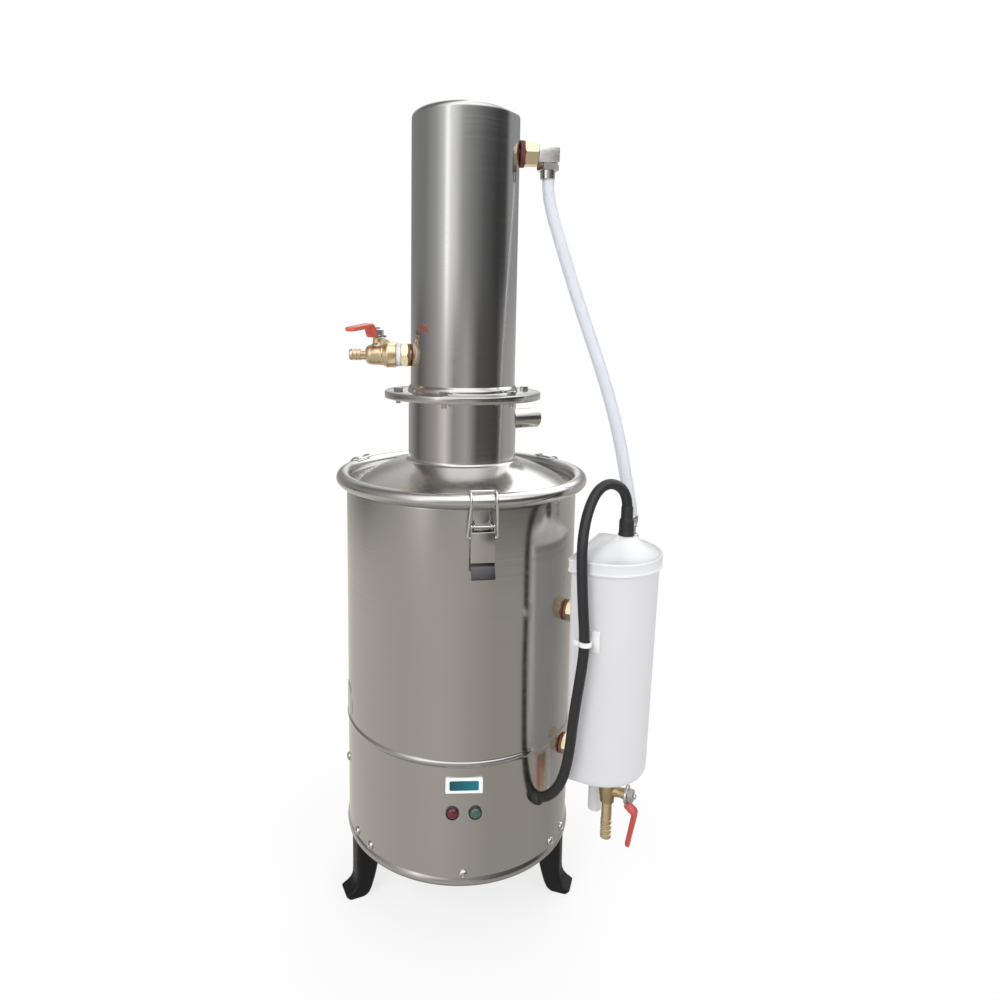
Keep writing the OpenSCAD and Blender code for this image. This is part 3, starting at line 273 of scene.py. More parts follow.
around = sky_mix(path.outputs["Is Glossy Ray"], soft_level, around)
around = sky_mix(shown.outputs[0], around, 1.0)
wire.new(around, sky["Background"].inputs["Color"])

floor_r = 3.0
sweep = bpy.data.meshes.new("floor")
ring = [(floor_r * math.cos(k * math.pi / 32), floor_r * math.sin(k * math.pi / 32), 0) for k in range(64)]
sweep.from_pydata(ring, [], [range(64)])
floor = bpy.data.objects.new("floor", sweep)
scene.collection.objects.link(floor)
floor.visible_glossy = False
pale = bpy.data.materials.new("pale_floor")
pale.use_nodes = True
sweep.materials.append(pale)
nodes = pale.node_tree.nodes
links = pale.node_tree.links
nodes.remove(nodes["Principled BSDF"])
matt = nodes.new("ShaderNodeBsdfDiffuse")
matt.inputs["Color"].default_value = (0.86, 0.86, 0.86, 1)
glow = nodes.new("ShaderNodeEmission")
path = nodes.new("ShaderNodeLightPath")
seen = nodes.new("ShaderNodeMath")
seen.operation = "MAXIMUM"
links.new(path.outputs["Is Camera Ray"], seen.inputs[0])
links.new(path.outputs["Is Transmission Ray"], seen.inputs[1])
spot = nodes.new("ShaderNodeNewGeometry")
reach = nodes.new("ShaderNodeVectorMath")
reach.operation = "LENGTH"
links.new(spot.outputs["Position"], reach.inputs[0])
fade = nodes.new("ShaderNodeMapRange")
fade.inputs["From Min"].default_value = 0.10
fade.inputs["From Max"].default_value = 0.30
fade.inputs["To Min"].default_value = 0.75
links.new(reach.outputs["Value"], fade.inputs["Value"])
share = nodes.new("ShaderNodeMath")
share.operation = "MULTIPLY"
links.new(seen.outputs[0], share.inputs[0])
links.new(fade.outputs["Result"], share.inputs[1])
blend = nodes.new("ShaderNodeMixShader")
links.new(share.outputs[0], blend.inputs[0])
links.new(matt.outputs[0], blend.inputs[1])
links.new(glow.outputs[0], blend.inputs[2])
links.new(blend.outputs[0], nodes["Material Output"].inputs["Surface"])

lamp_target = Vector((0.03, 0, 0.42))
for name, spot, size, power in (
    ("key_lamp", (-1.3, -1.7, 1.9), 1.2, 34),
    ("fill_lamp", (1.6, -1.4, 1.1), 1.4, 16),
    ("back_lamp", (0.4, 1.6, 1.7), 1.2, 14),
):
    lamp = bpy.data.lights.new(name, "AREA")
    lamp.size = size
    lamp.energy = power
    lamp_object = bpy.data.objects.new(name, lamp)
    scene.collection.objects.link(lamp_object)
    lamp_object.location = spot
    lamp_object.rotation_euler = (lamp_target - Vector(spot)).to_track_quat("-Z", "Y").to_euler()
    lamp_object.visible_glossy = False

# Boiler barrel: one stainless sheet rolled and welded, with a hem rolled out at its foot, a bead pressed
# into it above the skirt, a lip turned in at the top and a round boss pressed out of its left side.
MM = 0.001


def box_mm(node):
    """Lowest and highest corner of a CAD node, in millimetres."""
    low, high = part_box(node)
    return low / MM, high / MM


def place(az, r=0, t=0, z=0):
    """Frame on the boiler at an angle from its front: X outward, Y along the wall, Z up."""
    a = math.radians(az)
    out = Vector((math.sin(a), -math.cos(a), 0))
    along = Vector((math.cos(a), math.sin(a), 0))
    spot = out * r + along * t + Vector((0, 0, z))
    return Matrix.Translation(spot) @ Matrix((out, along, (0, 0, 1))).transposed().to_4x4()


def revolve(loop, steps=64):
    """Closed loop of (radius, height) points turned about Z."""
    n = len(loop)
    turns = [2 * math.pi * k / steps for k in range(steps)]
    verts = [(r * math.cos(a), r * math.sin(a), z) for a in turns for r, z in loop]
    faces = [
        (k * n + i, (k + 1) % steps * n + i, (k + 1) % steps * n + (i + 1) % n, k * n + (i + 1) % n)
        for k in range(steps) for i in range(n)
    ]
    return verts, faces


def solid(outline, steps=64):
    """Round solid on Z from the outer (radius, height) points of half its section."""
    return revolve([(0, outline[0][1])] + list(outline) + [(0, outline[-1][1])], steps)


def loft(rings):
    """Skin over a row of closed rings with the same number of points, closed at both ends."""
    n = len(rings[0])
    verts = [p for ring in rings for p in ring]
    faces = [
        (k * n + i, k * n + (i + 1) % n, (k + 1) * n + (i + 1) % n, (k + 1) * n + i)
        for k in range(len(rings) - 1) for i in range(n)
    ]
    return verts, faces + [tuple(range(n)), tuple(range(len(verts) - n, len(verts)))]


def moved(shape, matrix):
    """The shape carried by a matrix."""
    return [matrix @ Vector(v) for v in shape[0]], shape[1]


def joined(*shapes):
    """Several shapes as one."""
    verts, faces = [], []
    for v, f in shapes:
        faces += [tuple(i + len(verts) for i in face) for face in f]
        verts += [Vector(p) for p in v]
    return verts, faces


def arc(centre, radius, first, last, steps):
    """Points of an arc in a plane, angles in degrees."""
    turns = [math.radians(first + (last - first) * k / steps) for k in range(steps + 1)]
    return [(centre[0] + radius * math.cos(a), centre[1] + radius * math.sin(a)) for a in turns]


def piece(name, shape, surface, body, nodes, matrix=Matrix(), bevel=0, sharp=32):
    """Object from a shape in millimetres that rides on a body and stands for CAD nodes."""
    mesh = bpy.data.meshes.new(name)
    mesh.from_pydata([Vector(v) * MM for v in shape[0]], [], shape[1])
    work = bmesh.new()
    work.from_mesh(mesh)
    bmesh.ops.remove_doubles(work, verts=work.verts, dist=1e-6)
    bmesh.ops.dissolve_degenerate(work, edges=work.edges, dist=1e-7)
    bmesh.ops.recalc_face_normals(work, faces=work.faces)
    if bevel:
        edges = [e for e in work.edges if len(e.link_faces) == 2
                 and e.calc_face_angle() > math.radians(sharp)]
        bmesh.ops.bevel(work, geom=edges, offset=bevel * MM, segments=2, profile=0.5, affect="EDGES",
                        clamp_overlap=True)
    work.to_mesh(mesh)
    work.free()
    mesh.shade_smooth()
    mesh.set_sharp_from_angle(angle=math.radians(sharp))
    mesh.materials.append(surface)
    thing = bpy.data.objects.new(name, mesh)
    scene.collection.objects.link(thing)
    spot = matrix.copy()
    spot.translation = spot.translation * MM
    thing.matrix_world = spot
    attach(thing, body)
    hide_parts(*nodes)
    return thing


sheet = 1.0
hem_out = 1.7
hem_h = 8.0
bead_z = 184.5
boss_az = -78
boss_z = 203
boss_r = 18
shell_low, shell_high = box_mm("boiler_shell")
barrel_z = shell_low.z
barrel_top = shell_high.z
barrel_r = shell_high.y - hem_out
lip_r = barrel_r - 9
hem = [
    (barrel_r - 1, barrel_z + 0.8), (barrel_r - 0.3, barrel_z), (barrel_r + 0.8, barrel_z + 0.2),
    (barrel_r + 1.5, barrel_z + 1.2), (barrel_r + 1.7, barrel_z + 2.6), (barrel_r + 1.5, barrel_z + 4.6),
    (barrel_r + 0.9, barrel_z + 6.4), (barrel_r + 0.3, barrel_z + 7.6),
    (barrel_r, barrel_z + hem_h + 0.4), (barrel_r, barrel_z + hem_h + 1.4),
]
bead = [(barrel_r + out, bead_z + up) for out, up in (
    (0, -3.9), (0, -2.9), (0.35, -2.3), (1.0, -1.5), (1.2, -0.7), (1.2, 0.7), (1.0, 1.5), (0.35, 2.3),
    (0, 2.9), (0, 3.9))]
shoulder = [(barrel_r, barrel_top - 2.6)] + arc((barrel_r - 1.6, barrel_top - 1.6), 1.6, 0, 90, 4)
inside = [(lip_r, barrel_top), (lip_r, barrel_top - sheet), (barrel_r - sheet, barrel_top - sheet)]
barrel = revolve(hem + bead + shoulder + inside, 224)


def boss_point(r, a):
    """Point of the round boss on the barrel's wall: a flat top with a rolled shoulder."""
    t = r * math.cos(a)
    rise = 0.8 * min(1, max(0, (boss_r - r) / 3)) ** 0.5
    return (math.sqrt((barrel_r - 0.3) ** 2 - t * t) + 0.3 + rise - 0.3 * (r >= boss_r), t, r * math.sin(a))


boss_rings = [
    [boss_point(r, 2 * math.pi * k / 48) for k in range(48)]
    for r in (boss_r, boss_r - 0.3, boss_r - 0.9, boss_r - 1.8, boss_r - 3, boss_r - 8, 2)
]
boss = moved(loft(boss_rings), place(boss_az, z=boss_z))
barrel_steel = finish("barrel_steel", (0.55, 0.54, 0.522), 0.17, metal=1, drift=0.03, patch=5,
                      grain=(6, 6, 900), wear=0.05, relief=0.03)
piece("boiler_barrel", joined(barrel, boss), barrel_steel, "stand", ["boiler_shell"])

# Feet: three black enamelled iron castings under the base pan. Each leg is straight, turns out into a toe
# near the ground and ends in a narrow rim and a flat sole.
foot_angles = {"foot_left": -69, "foot_right": 69, "foot_rear": 180}
foot_stations = [
    (64, 91, 114, 11, 3), (58, 91, 114, 11, 4), (44, 91.4, 114, 11, 4.5), (30, 92, 114, 11, 4.5),
    (22, 93.8, 114.1, 11, 4.5), (16, 95.4, 114.6, 11, 4.5), (11, 97.2, 116.8, 11, 4),
    (7.5, 98.6, 120.2, 11, 3.5), (5, 100.3, 124.2, 11, 2.5), (3.6, 101.3, 125.4, 11, 2),
    (2.2, 102.6, 124.2, 11, 2), (0.6, 105, 122.8, 10.8, 2), (0, 106, 122, 10.5, 2),
]


def round_box(r_in, r_out, half_w, corner, z):
    """Level ring: a rectangle with rounded corners."""
    ring = []
    for cx, cy, first in ((r_out - corner, half_w - corner, 0), (r_in + corner, half_w - corner, 90),
                          (r_in + corner, corner - half_w, 180), (r_out - corner, corner - half_w, 270)):
        ring += [(x, y, z) for x, y in arc((cx, cy), corner, first, first + 90, 6)]
    return ring


foot_shape = loft([round_box(r_in, r_out, w, c, z) for z, r_in, r_out, w, c in foot_stations])
black_enamel = finish("black_enamel", (0.005, 0.005, 0.006), 0.48, drift=0.25, grain=(450, 450, 450),
                      wear=0.1, relief=0.35, more={"Specular IOR Level": 0.35})
for name, az in foot_angles.items():
    piece(name + "_casting", foot_shape, black_enamel, "stand", [name], place(az),
          sharp=40)

# Screws: plated cross-head pan screws through the barrel into the base pan, and one earth screw above
# them on the left. Each has a domed head with a cross stamped into it.
screw_angles = [0, 50, 63, 120, 180, 240, 297, 310]
screw_z = box_mm("pan_screws")[0].z + 3.6
earth_az = -80
earth_z = 137
head_r = 4.2
head_h = 2.7


def head_point(r, a):
    """Point of a domed head with a cross recess, its axis along X."""
    y = r * math.cos(a)
    z = r * math.sin(a)
    dome = head_h * math.sqrt(max(0, 1 - (r / head_r) ** 2 * 0.93))
    cross = min(abs(y), abs(z)) < 0.5 and r < 2.2
    return (dome - 0.9 * cross, y, z)


head_rings = [[(0, head_r * math.cos(k * math.pi / 32), head_r * math.sin(k * math.pi / 32))
               for k in range(64)]]
head_rings += [[head_point(head_r * q, k * math.pi / 32) for k in range(64)]
               for q in (1, 0.95, 0.85, 0.7, 0.56, 0.52, 0.4, 0.28, 0.16, 0.06)]
screw_head = loft(head_rings)
screw_spots = [place(a, barrel_r, 0, screw_z) for a in screw_angles]
screw_spots.append(place(earth_az, barrel_r, 0, earth_z))
bright_plate = finish("bright_plate", (0.72, 0.71, 0.68), 0.2, metal=1, drift=0.06, patch=120, wear=0.06,
                      relief=0.04)
piece("cross_head_screws", joined(*[moved(screw_head, spot) for spot in screw_spots]), bright_plate,
      "stand", ["pan_screws"])

# Pilot lamps: a red and a green moulded lens, each domed and held in a dark ring pushed into the skirt.
lamp_z = 137
lamp_pitch = 21
lens_r = 5.3
bezel_r = 6.3
outward = Matrix.Rotation(math.pi / 2, 4, "Y")
lens_shape = solid([(lens_r, 0.4)] + arc((0, -4.1), 7.3, 43.5, 85, 9), 40)
bezel_shape = revolve([(lens_r - 0.2, -1.5), (bezel_r - 0.4, -1.5), (bezel_r, 0.4), (bezel_r - 0.2, 1.3),
                       (5.8, 1.7), (lens_r + 0.1, 1.5), (lens_r - 0.2, 0.4)], 48)
red_lens = finish("red_lens", (0.115, 0.010, 0.016), 0.2, drift=0.3, patch=300, relief=0.05,
                  more={"Coat Weight": 0.6, "Subsurface Weight": 0.1})
green_lens = finish("green_lens", (0.042, 0.105, 0.085), 0.2, drift=0.3, patch=300, relief=0.05,
                    more={"Coat Weight": 0.6, "Subsurface Weight": 0.1})
dark_ring = finish("dark_ring", (0.03, 0.028, 0.028), 0.3, drift=0.2, patch=200, relief=0.1)
lamp_left = place(0, barrel_r, -lamp_pitch / 2, lamp_z) @ outward
lamp_right = place(0, barrel_r, lamp_pitch / 2, lamp_z) @ outward
piece("lamp_red_lens", lens_shape, red_lens, "stand", ["lamp_red"], lamp_left)
piece("lamp_green_lens", lens_shape, green_lens, "stand", ["lamp_green"], lamp_right)
piece("lamp_rings", joined(moved(bezel_shape, lamp_left), moved(bezel_shape, lamp_right)), dark_ring,
      "stand", ["lamp_bezels"])

# Plate: a small flat enamelled plate stuck to the barrel, white with a plain teal field that has rounded
# corners and grows lighter to one side.
plate_low, plate_high = box_mm("name_plate")
plate_w = plate_high.x - plate_low.x
plate_z = (plate_low.z + plate_high.z) / 2
plate_h = plate_high.z - plate_low.z
field_w = plate_w * 0.79
field_h = plate_h * 0.63


def panel(w, h, corner, depths):
    """Flat panel that faces the front, with rounded corners, from rings of (depth, inset)."""
    rings = []
    for y, inset in depths:
        ring = []
        for cx, cz, first in ((1, 1, 0), (-1, 1, 90), (-1, -1, 180), (1, -1, 270)):
            spot = (cx * (w / 2 - corner), cz * (h / 2 - corner))
            ring += [(x, y, z) for x, z in arc(spot, corner - inset, first, first + 90, 5)]
        rings.append(ring)
    return loft(rings)


white_enamel = finish("white_enamel", (0.80, 0.84, 0.84), 0.28, drift=0.03, patch=80, relief=0.04)
teal_print = finish("teal_print", (0.0, 0.115, 0.155), 0.34, drift=0.45, patch=80, relief=0.04)
teal_nodes = teal_print.node_tree.nodes
teal_side = teal_nodes.new("ShaderNodeSeparateXYZ")
teal_print.node_tree.links.new(teal_nodes["Texture Coordinate"].outputs["Object"], teal_side.inputs[0])
teal_fade = teal_nodes.new("ShaderNodeMapRange")
teal_fade.inputs["From Min"].default_value = -field_w / 2 * MM
teal_fade.inputs["From Max"].default_value = field_w / 2 * MM
teal_print.node_tree.links.new(teal_side.outputs["X"], teal_fade.inputs["Value"])
teal_print.node_tree.links.new(teal_fade.outputs["Result"], teal_nodes["Mix"].inputs[0])
middle = Matrix.Translation((0, -barrel_r, plate_z))
piece("plate", panel(plate_w, plate_h, 1.0, ((1.5, 0), (-0.6, 0), (-0.8, 0.2))), white_enamel, "stand",
      ["name_plate"], middle)
piece("plate_field", panel(field_w, field_h, 1.6, ((-0.5, 0), (-0.84, 0))), teal_print, "stand",
      ["name_plate"], middle)

# Cable entries: a ball-shaped rubber grommet where the probe cable goes through the skirt, and at the
# back a black moulded gland with a hexagon and a domed nut for the supply lead.
black_rubber = finish("black_rubber", (0.020, 0.020, 0.022), 0.5, drift=0.2, grain=(600, 600, 600),
                      relief=0.2)
grommet = solid([(4.9, -4), (5.3, -0.6), (6.0, 0), (6.3, 1.2), (6.2, 2.8), (5.9, 4.6), (5.4, 6.2),
                 (5.0, 7.6), (4.6, 8)], 40)
piece("grommet", grommet, black_rubber, "stand", ["cable_grommet"],
      place(36.5, barrel_r, 0, 137) @ outward, sharp=50)


def hexagon(af, height, bore=0, turn=0):
    """Hexagon along Z with turned chamfers on both faces and an optional bore."""
    steps = 72
    land = af / 2 * 0.985
    rings = [[] for _ in range(6)]
    for k in range(steps):
        a = 2 * math.pi * k / steps
        flat = af / 2 / math.cos((a - math.radians(turn)) % (math.pi / 3) - math.pi / 6)
        drop = (flat - land) * 0.55
        profile = [(bore, 0), (land, 0), (flat, drop), (flat, height - drop), (land, height),
                   (bore, height)]
        for ring, (r, z) in zip(rings, profile):
            ring.append((r * math.cos(a), r * math.sin(a), z))
    verts, faces = loft(rings)
    if bore:
        last = 5 * steps
        faces = faces[:-2] + [(i, (i + 1) % steps, last + (i + 1) % steps, last + i) for i in range(steps)]
    return verts, faces


def gland_nut(a):
    """Radius factor of the gland's fluted nut."""
    return 1 - 0.035 * (math.cos(12 * a) > 0.2)


gland_bore = 4.2
nut_rings = []
for r, z in ((8.0, 6), (8.4, 7), (8.4, 12), (8.0, 13.2)):
    reach = [(a, r * gland_nut(a)) for a in (k * math.pi / 60 for k in range(120))]
    nut_rings.append([(far * math.cos(a), far * math.sin(a), z) for a, far in reach])
gland_dome = revolve([(gland_bore, 12.5), (7.7, 12.5), (7.5, 13.6), (6.8, 15), (5.6, 16),
                      (gland_bore + 0.4, 16)], 48)
black_moulding = finish("black_moulding", (0.02, 0.02, 0.022), 0.45, drift=0.2, relief=0.15)
piece("supply_gland", joined(hexagon(18, 6), loft(nut_rings), gland_dome), black_moulding, "stand",
      ["power_gland"], place(180, barrel_r, 0, 104) @ outward)

# Inside and under the boiler: dished floor, base pan, heating element with its brass nuts, condensing
# tubes, drip tray, valve balls and the seals. They keep their solids and only take a finish.
plain_steel = finish("plain_steel", (0.55, 0.54, 0.52), 0.28, metal=1, drift=0.05, patch=9, relief=0.08)
heater_sheath = finish("heater_sheath", (0.16, 0.13, 0.11), 0.45, metal=1, drift=0.35, patch=40,
                       relief=0.25)
rough_brass = finish("rough_brass", (0.60, 0.42, 0.17), 0.32, metal=1, drift=0.12, patch=60, relief=0.1)
grey_silicone = finish("grey_silicone", (0.46, 0.45, 0.43), 0.6, drift=0.08, patch=60, relief=0.15)
float_foam = finish("float_foam", (0.80, 0.79, 0.75), 0.6, drift=0.05, patch=80, relief=0.3)
for surface, names in (
    (plain_steel, ("boiler_floor", "base_pan", "condenser_tubes", "drip_tray")),
    (heater_sheath, ("heater_tube",)),
    (rough_brass, ("heater_nuts",)),
    (bright_plate, ("inlet_ball", "drain_ball", "float_rod")),
    (grey_silicone, ("lid_seal", "flange_pad")),
    (float_foam, ("float",)),
):
    for name in names:
        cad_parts[name].data.materials.clear()
        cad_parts[name].data.materials.append(surface)

# Lid: a spun stainless dome with its edge rolled into a bead over the barrel, and a rolled neck with a
# turned flange welded on top. It lies on a ring seal and is held down by three latches.
lid_z = box_mm("lid_seal")[1].z
flange_top = box_mm("flange_pad")[0].z
flange_z = flange_top - 3
flange_r = 77.5
neck_r = 53.7
roll_r = 6.8
roll_c = (barrel_r + 3.5, lid_z + 4.3)
flare_r = 4
flare_end = 253
flare_c = (neck_r + flare_r, lid_z + 25)
dome_in = arc(flare_c, flare_r, flare_end, flare_end, 1)[0]
dome_out = (lip_r, lid_z + sheet)
dome_fall = dome_in[1] - dome_out[1]
dome_cz = (dome_in[0] ** 2 + dome_in[1] ** 2 - dome_out[0] ** 2 - dome_out[1] ** 2) / 2 / dome_fall
dome_r = math.hypot(dome_out[0], dome_out[1] - dome_cz)
dome_first = math.degrees(math.atan2(dome_in[1] - dome_cz, dome_in[0]))
dome_last = math.degrees(math.atan2(dome_out[1] - dome_cz, dome_out[0]))


def lid_sheet(inset):
    """Outer or inner skin of the lid from the neck's foot to the end of the rolled edge."""
    start = 180 + math.degrees(math.asin((roll_c[1] - lid_z - sheet + inset) / (roll_r - inset)))
    flare = arc(flare_c, flare_r + inset, 180, flare_end, 12)
    dome = arc((0, dome_cz), dome_r - inset, dome_first, dome_last, 16)
    return flare + dome[1:] + arc(roll_c, roll_r - inset, start, -110, 40)


pad_top = flange_top + 1
neck_flange = [
    (neck_r - sheet, flange_top), (flange_r - 0.9, flange_top), (flange_r - 0.9, pad_top - 0.02),
    (flange_r - 0.12, pad_top - 0.02), (flange_r, pad_top - 0.14), (flange_r, flange_z + 1),
    (flange_r - 0.3, flange_z + 0.3), (flange_r - 1, flange_z), (neck_r + 1.6, flange_z),
    (neck_r + 0.9, flange_z - 0.4), (neck_r + 0.3, flange_z - 1.2), (neck_r, flange_z - 2.2),
    (neck_r, flange_z - 3.2), (neck_r, flare_c[1] + 1), (neck_r, flare_c[1]),
    (neck_r - sheet, flare_c[1]),
]
neck_steel = finish("neck_steel", (0.58, 0.57, 0.56), 0.13, metal=1, drift=0.03, patch=6, grain=(9, 9, 800),
                    wear=0.04, relief=0.025)
dome_steel = finish("dome_steel", (0.64, 0.63, 0.62), 0.2, metal=1, drift=0.03, patch=6,
                    grain=(200, 200, 700), wear=0.05, relief=0.02)
piece("lid_neck", revolve(neck_flange, 224), neck_steel, "stand", ["lid"], sharp=40)
piece("lid_dome", revolve(lid_sheet(0) + lid_sheet(sheet)[::-1], 224), dome_steel, "stand", ["lid"],
      sharp=40)

# Latches: three over-centre draw latches. A pressed plate is spot welded to the barrel, a pin through its
# ears carries the lever, and a wire bail on the lever hooks over the lid's rolled edge.
latch_angles = {"front": 6, "right": 125, "left": -118}
pivot = (barrel_r + 4.8, barrel_top - 15)
bail_end = (barrel_r + 5.5, pivot[1] - 9.5)
gauge = 1.2
lever_w = 21.2
base_w = lever_w - 4 * gauge
wire_d = 2.2
bail_low = 13.2
bail_top = 11.2
bail_half = lever_w / 2 + 0.4 + wire_d / 2
arm_c = (math.sqrt(roll_c[0] ** 2 - bail_half ** 2), roll_c[1])
arm_r = roll_r + wire_d / 2 + 0.85
arm_reach = math.hypot(bail_end[0] - arm_c[0], bail_end[1] - arm_c[1])
arm_touch = (math.degrees(math.atan2(bail_end[1] - arm_c[1], bail_end[0] - arm_c[0]))
             + math.degrees(math.acos(arm_r / arm_reach)))


def slab(outline, w, y=0):
    """Flat plate with an outline in X and Z and its width along Y."""
    return loft([[(x, side, z) for x, z in outline] for side in (y - w / 2, y + w / 2)])


def tube(points, radius, sides=14):
    """Round wire along a line of points, with flat ends."""
    line = [Vector(p) for p in points]
    rings = []
    side = None
    for i, spot in enumerate(line):
        run = (line[min(i + 1, len(line) - 1)] - line[max(i - 1, 0)]).normalized()
        side = run.orthogonal() if side is None else side - run * side.dot(run)
        side.normalize()
        other = run.cross(side)
        rings.append([
            tuple(spot + radius * (math.cos(2 * math.pi * k / sides) * side
                                   + math.sin(2 * math.pi * k / sides) * other))
            for k in range(sides)
        ])
    return loft(rings)


def rounded(points, radius, steps=5):
    """Line of points with each corner eased by a short curve."""
    line = [Vector(p) for p in points]
    out = [line[0]]
    for a, b, c in zip(line, line[1:], line[2:]):
        back = min(radius, (a - b).length / 2)
        on = min(radius, (c - b).length / 2)
        p = b + (a - b).normalized() * back
        q = b + (c - b).normalized() * on
        out += [p * (1 - s) ** 2 + b * 2 * s * (1 - s) + q * s ** 2
                for s in (k / steps for k in range(steps + 1))]
    return out + [line[-1]]


plate_foot = pivot[1] - 37
base_ear = [(barrel_r, pivot[1] - 5), (pivot[0] + 1.2, pivot[1] - 3.2)]
base_ear += arc(pivot, 3.2, -60, 60, 6) + [(barrel_r, pivot[1] + 6)]
base_plate = slab([(barrel_r - 0.6, plate_foot), (barrel_r + gauge, plate_foot),
                   (barrel_r + gauge, plate_foot + 50), (barrel_r - 0.6, plate_foot + 50)], base_w)
base_shape = joined(base_plate, *[slab(base_ear, gauge, s * (base_w - gauge) / 2) for s in (-1, 1)])
face = pivot[0] + 3
foot_z = pivot[1] - 45
blade = [(face - gauge, pivot[1] - 4.4), (face - 0.4, pivot[1] - 4), (face, pivot[1] - 4.4),
         (face, foot_z + 13.8), (face - gauge, foot_z + 13.8)]
lip = [(face, foot_z + 14)] + arc((face + 8, foot_z + 14), 8, 180, 205, 4)
lip += [(face + 5.3, foot_z + 1), (face + 4.9, foot_z + 0.2), (face + 4.3, foot_z + 0.2)]
lip += arc((face + 8, foot_z + 14), 8 + gauge, 205, 180, 4)
lever_ear = arc(pivot, 3, -20, 200, 14) + [(face - 5, pivot[1] - 15), (face - 3, pivot[1] - 17.4),
                                           (face, pivot[1] - 17)]
lever_shape = joined(slab(blade, lever_w),
                     *[slab(lever_ear, gauge, s * (lever_w - gauge) / 2) for s in (-1, 1)])
pin_half = lever_w / 2
pin_rod = solid([(0.9, -pin_half - 0.5), (1.5, -pin_half), (1.5, pin_half), (0.9, pin_half + 0.5)], 20)
pin_spot = Matrix.Translation((pivot[0], 0, pivot[1])) @ Matrix.Rotation(math.pi / 2, 4, "X")
pin_shape = moved(pin_rod, pin_spot)
arm_arc = arc(arm_c, arm_r, arm_touch, 115, 20)
half_bail = [(bail_end[0], base_w / 2 + 0.4, bail_end[1]), (bail_end[0], bail_low, bail_end[1])]
half_bail += [(x, bail_top, z) for x, z in arm_arc]
bail_line = half_bail + [(x, -y, z) for x, y, z in half_bail[::-1]]
bail_shape = tube(rounded(bail_line, 2.2), wire_d / 2)
latch_steel = finish("latch_steel", (0.60, 0.59, 0.57), 0.16, metal=1, drift=0.04, patch=40,
                     grain=(300, 300, 60), wear=0.06, relief=0.05)
# Steel painted nearly black for the lever's turned-out lip: a painted dark reflection, standing in for the
# dark ground that the lip reflects.
lip_steel_painted_dark = finish("lip_steel_painted_dark", (0.10, 0.10, 0.105), 0.2, metal=1, drift=0.1, patch=60, wear=0.06,
                    relief=0.05)
bail_wire = finish("bail_wire", (0.78, 0.77, 0.75), 0.16, metal=1, drift=0.05, patch=90, relief=0.05)
pins = []
for side_name, az in latch_angles.items():
    spot = place(az)
    pins.append(moved(pin_shape, spot))
    piece("latch_plate_" + side_name, base_shape, latch_steel, "stand", ["latch_base_" + side_name],
          spot, bevel=0.25)
    piece("latch_handle_" + side_name, lever_shape, latch_steel, "latch_lever_" + side_name,
          ["latch_lever_" + side_name], spot, bevel=0.25)
    piece("latch_lip_" + side_name, slab(lip, lever_w), lip_steel_painted_dark, "latch_lever_" + side_name,
          ["latch_lever_" + side_name], spot, bevel=0.25)
    piece("latch_wire_" + side_name, bail_shape, bail_wire, "latch_bail_" + side_name,
          ["latch_bail_" + side_name], spot, sharp=50)
piece("latch_rivets", joined(*pins), bright_plate, "stand", ["latch_pins"])

# Flange joint: six plated M5 bolts go down through the condenser's flange and a thin pad, which lies in a
# recess, and screw into the neck's flange. Their threaded ends stand out below.
bolt_r = 65
bolt_az = -18
bolt_tail = flange_z - 5
thread = [(2.5 if k % 2 else 2.2, bolt_tail + 0.3 + 0.4 * k) for k in range(14)]
shank = solid([(1.8, bolt_tail)] + thread + [(2.5, pad_top + 3)], 24)
bolt_shape = joined(moved(hexagon(8, 3.5), Matrix.Translation((0, 0, pad_top + 3))), shank)
bolt_spots = [place(bolt_az + 60 * k, bolt_r) for k in range(6)]
piece("hex_bolts", joined(*[moved(bolt_shape, s) for s in bolt_spots]), bright_plate, "stand",
      ["flange_bolts"])

# Distillate spout: a straight stainless tube welded into the neck under the flange, to the right and a
# little to the back. The distillate runs out of it.
spout_az = 119
spout_z = flange_z - 25
spout_r = 10.3
spout_bore = 8.7
spout_end = neck_r + 39
spout = revolve([
    (spout_bore, neck_r - 4), (spout_r + 0.8, neck_r - 1.8), (spout_r + 0.8, neck_r + 0.1),
    (spout_r + 0.25, neck_r + 0.8), (spout_r, neck_r + 1.6), (spout_r, spout_end - 0.5),
    (spout_r - 0.4, spout_end), (spout_bore + 0.3, spout_end), (spout_bore, spout_end - 0.4),
], 64)
spout_steel = finish("spout_steel", (0.55, 0.54, 0.52), 0.2, metal=1, drift=0.05, patch=30,
                     grain=(600, 60, 60), relief=0.06)
piece("spout_tube", spout, spout_steel, "stand", ["distillate_spout"],
      place(spout_az, z=spout_z) @ outward)

# Condenser: a rolled and polished stainless jacket with a pressed flat top, a rounded top edge, a foot
# collar and a turned foot flange.
cond_low, cond_high = box_mm("condenser_shell")
cond_z = cond_low.z
cond_top = cond_high.z
cond_r = 51.8
cond_edge = 6
foot_top = cond_z + 3
jacket = [
    (cond_r - sheet, cond_z), (flange_r - 0.12, cond_z), (flange_r, cond_z + 0.12),
    (flange_r, foot_top - 1.3), (flange_r - 0.4, foot_top - 0.4), (flange_r - 1.3, foot_top),
    (cond_r + 3.2, foot_top), (cond_r + 2.7, foot_top + 0.6), (cond_r + 2.5, foot_top + 2.6),
    (cond_r + 1.9, foot_top + 4), (cond_r + 0.7, foot_top + 5.2), (cond_r, foot_top + 6.2),
    (cond_r, foot_top + 7.2), (cond_r, cond_top - cond_edge - 1),
]
jacket += arc((cond_r - cond_edge, cond_top - cond_edge), cond_edge, 0, 90, 10)
jacket += [(0, cond_top), (0, cond_top - sheet)]
jacket += arc((cond_r - cond_edge, cond_top - cond_edge), cond_edge - sheet, 90, 0, 6)
condenser_steel = finish("condenser_steel", (0.56, 0.555, 0.55), 0.13, metal=1, drift=0.03, patch=6,
                         grain=(9, 9, 800), wear=0.04, relief=0.025)
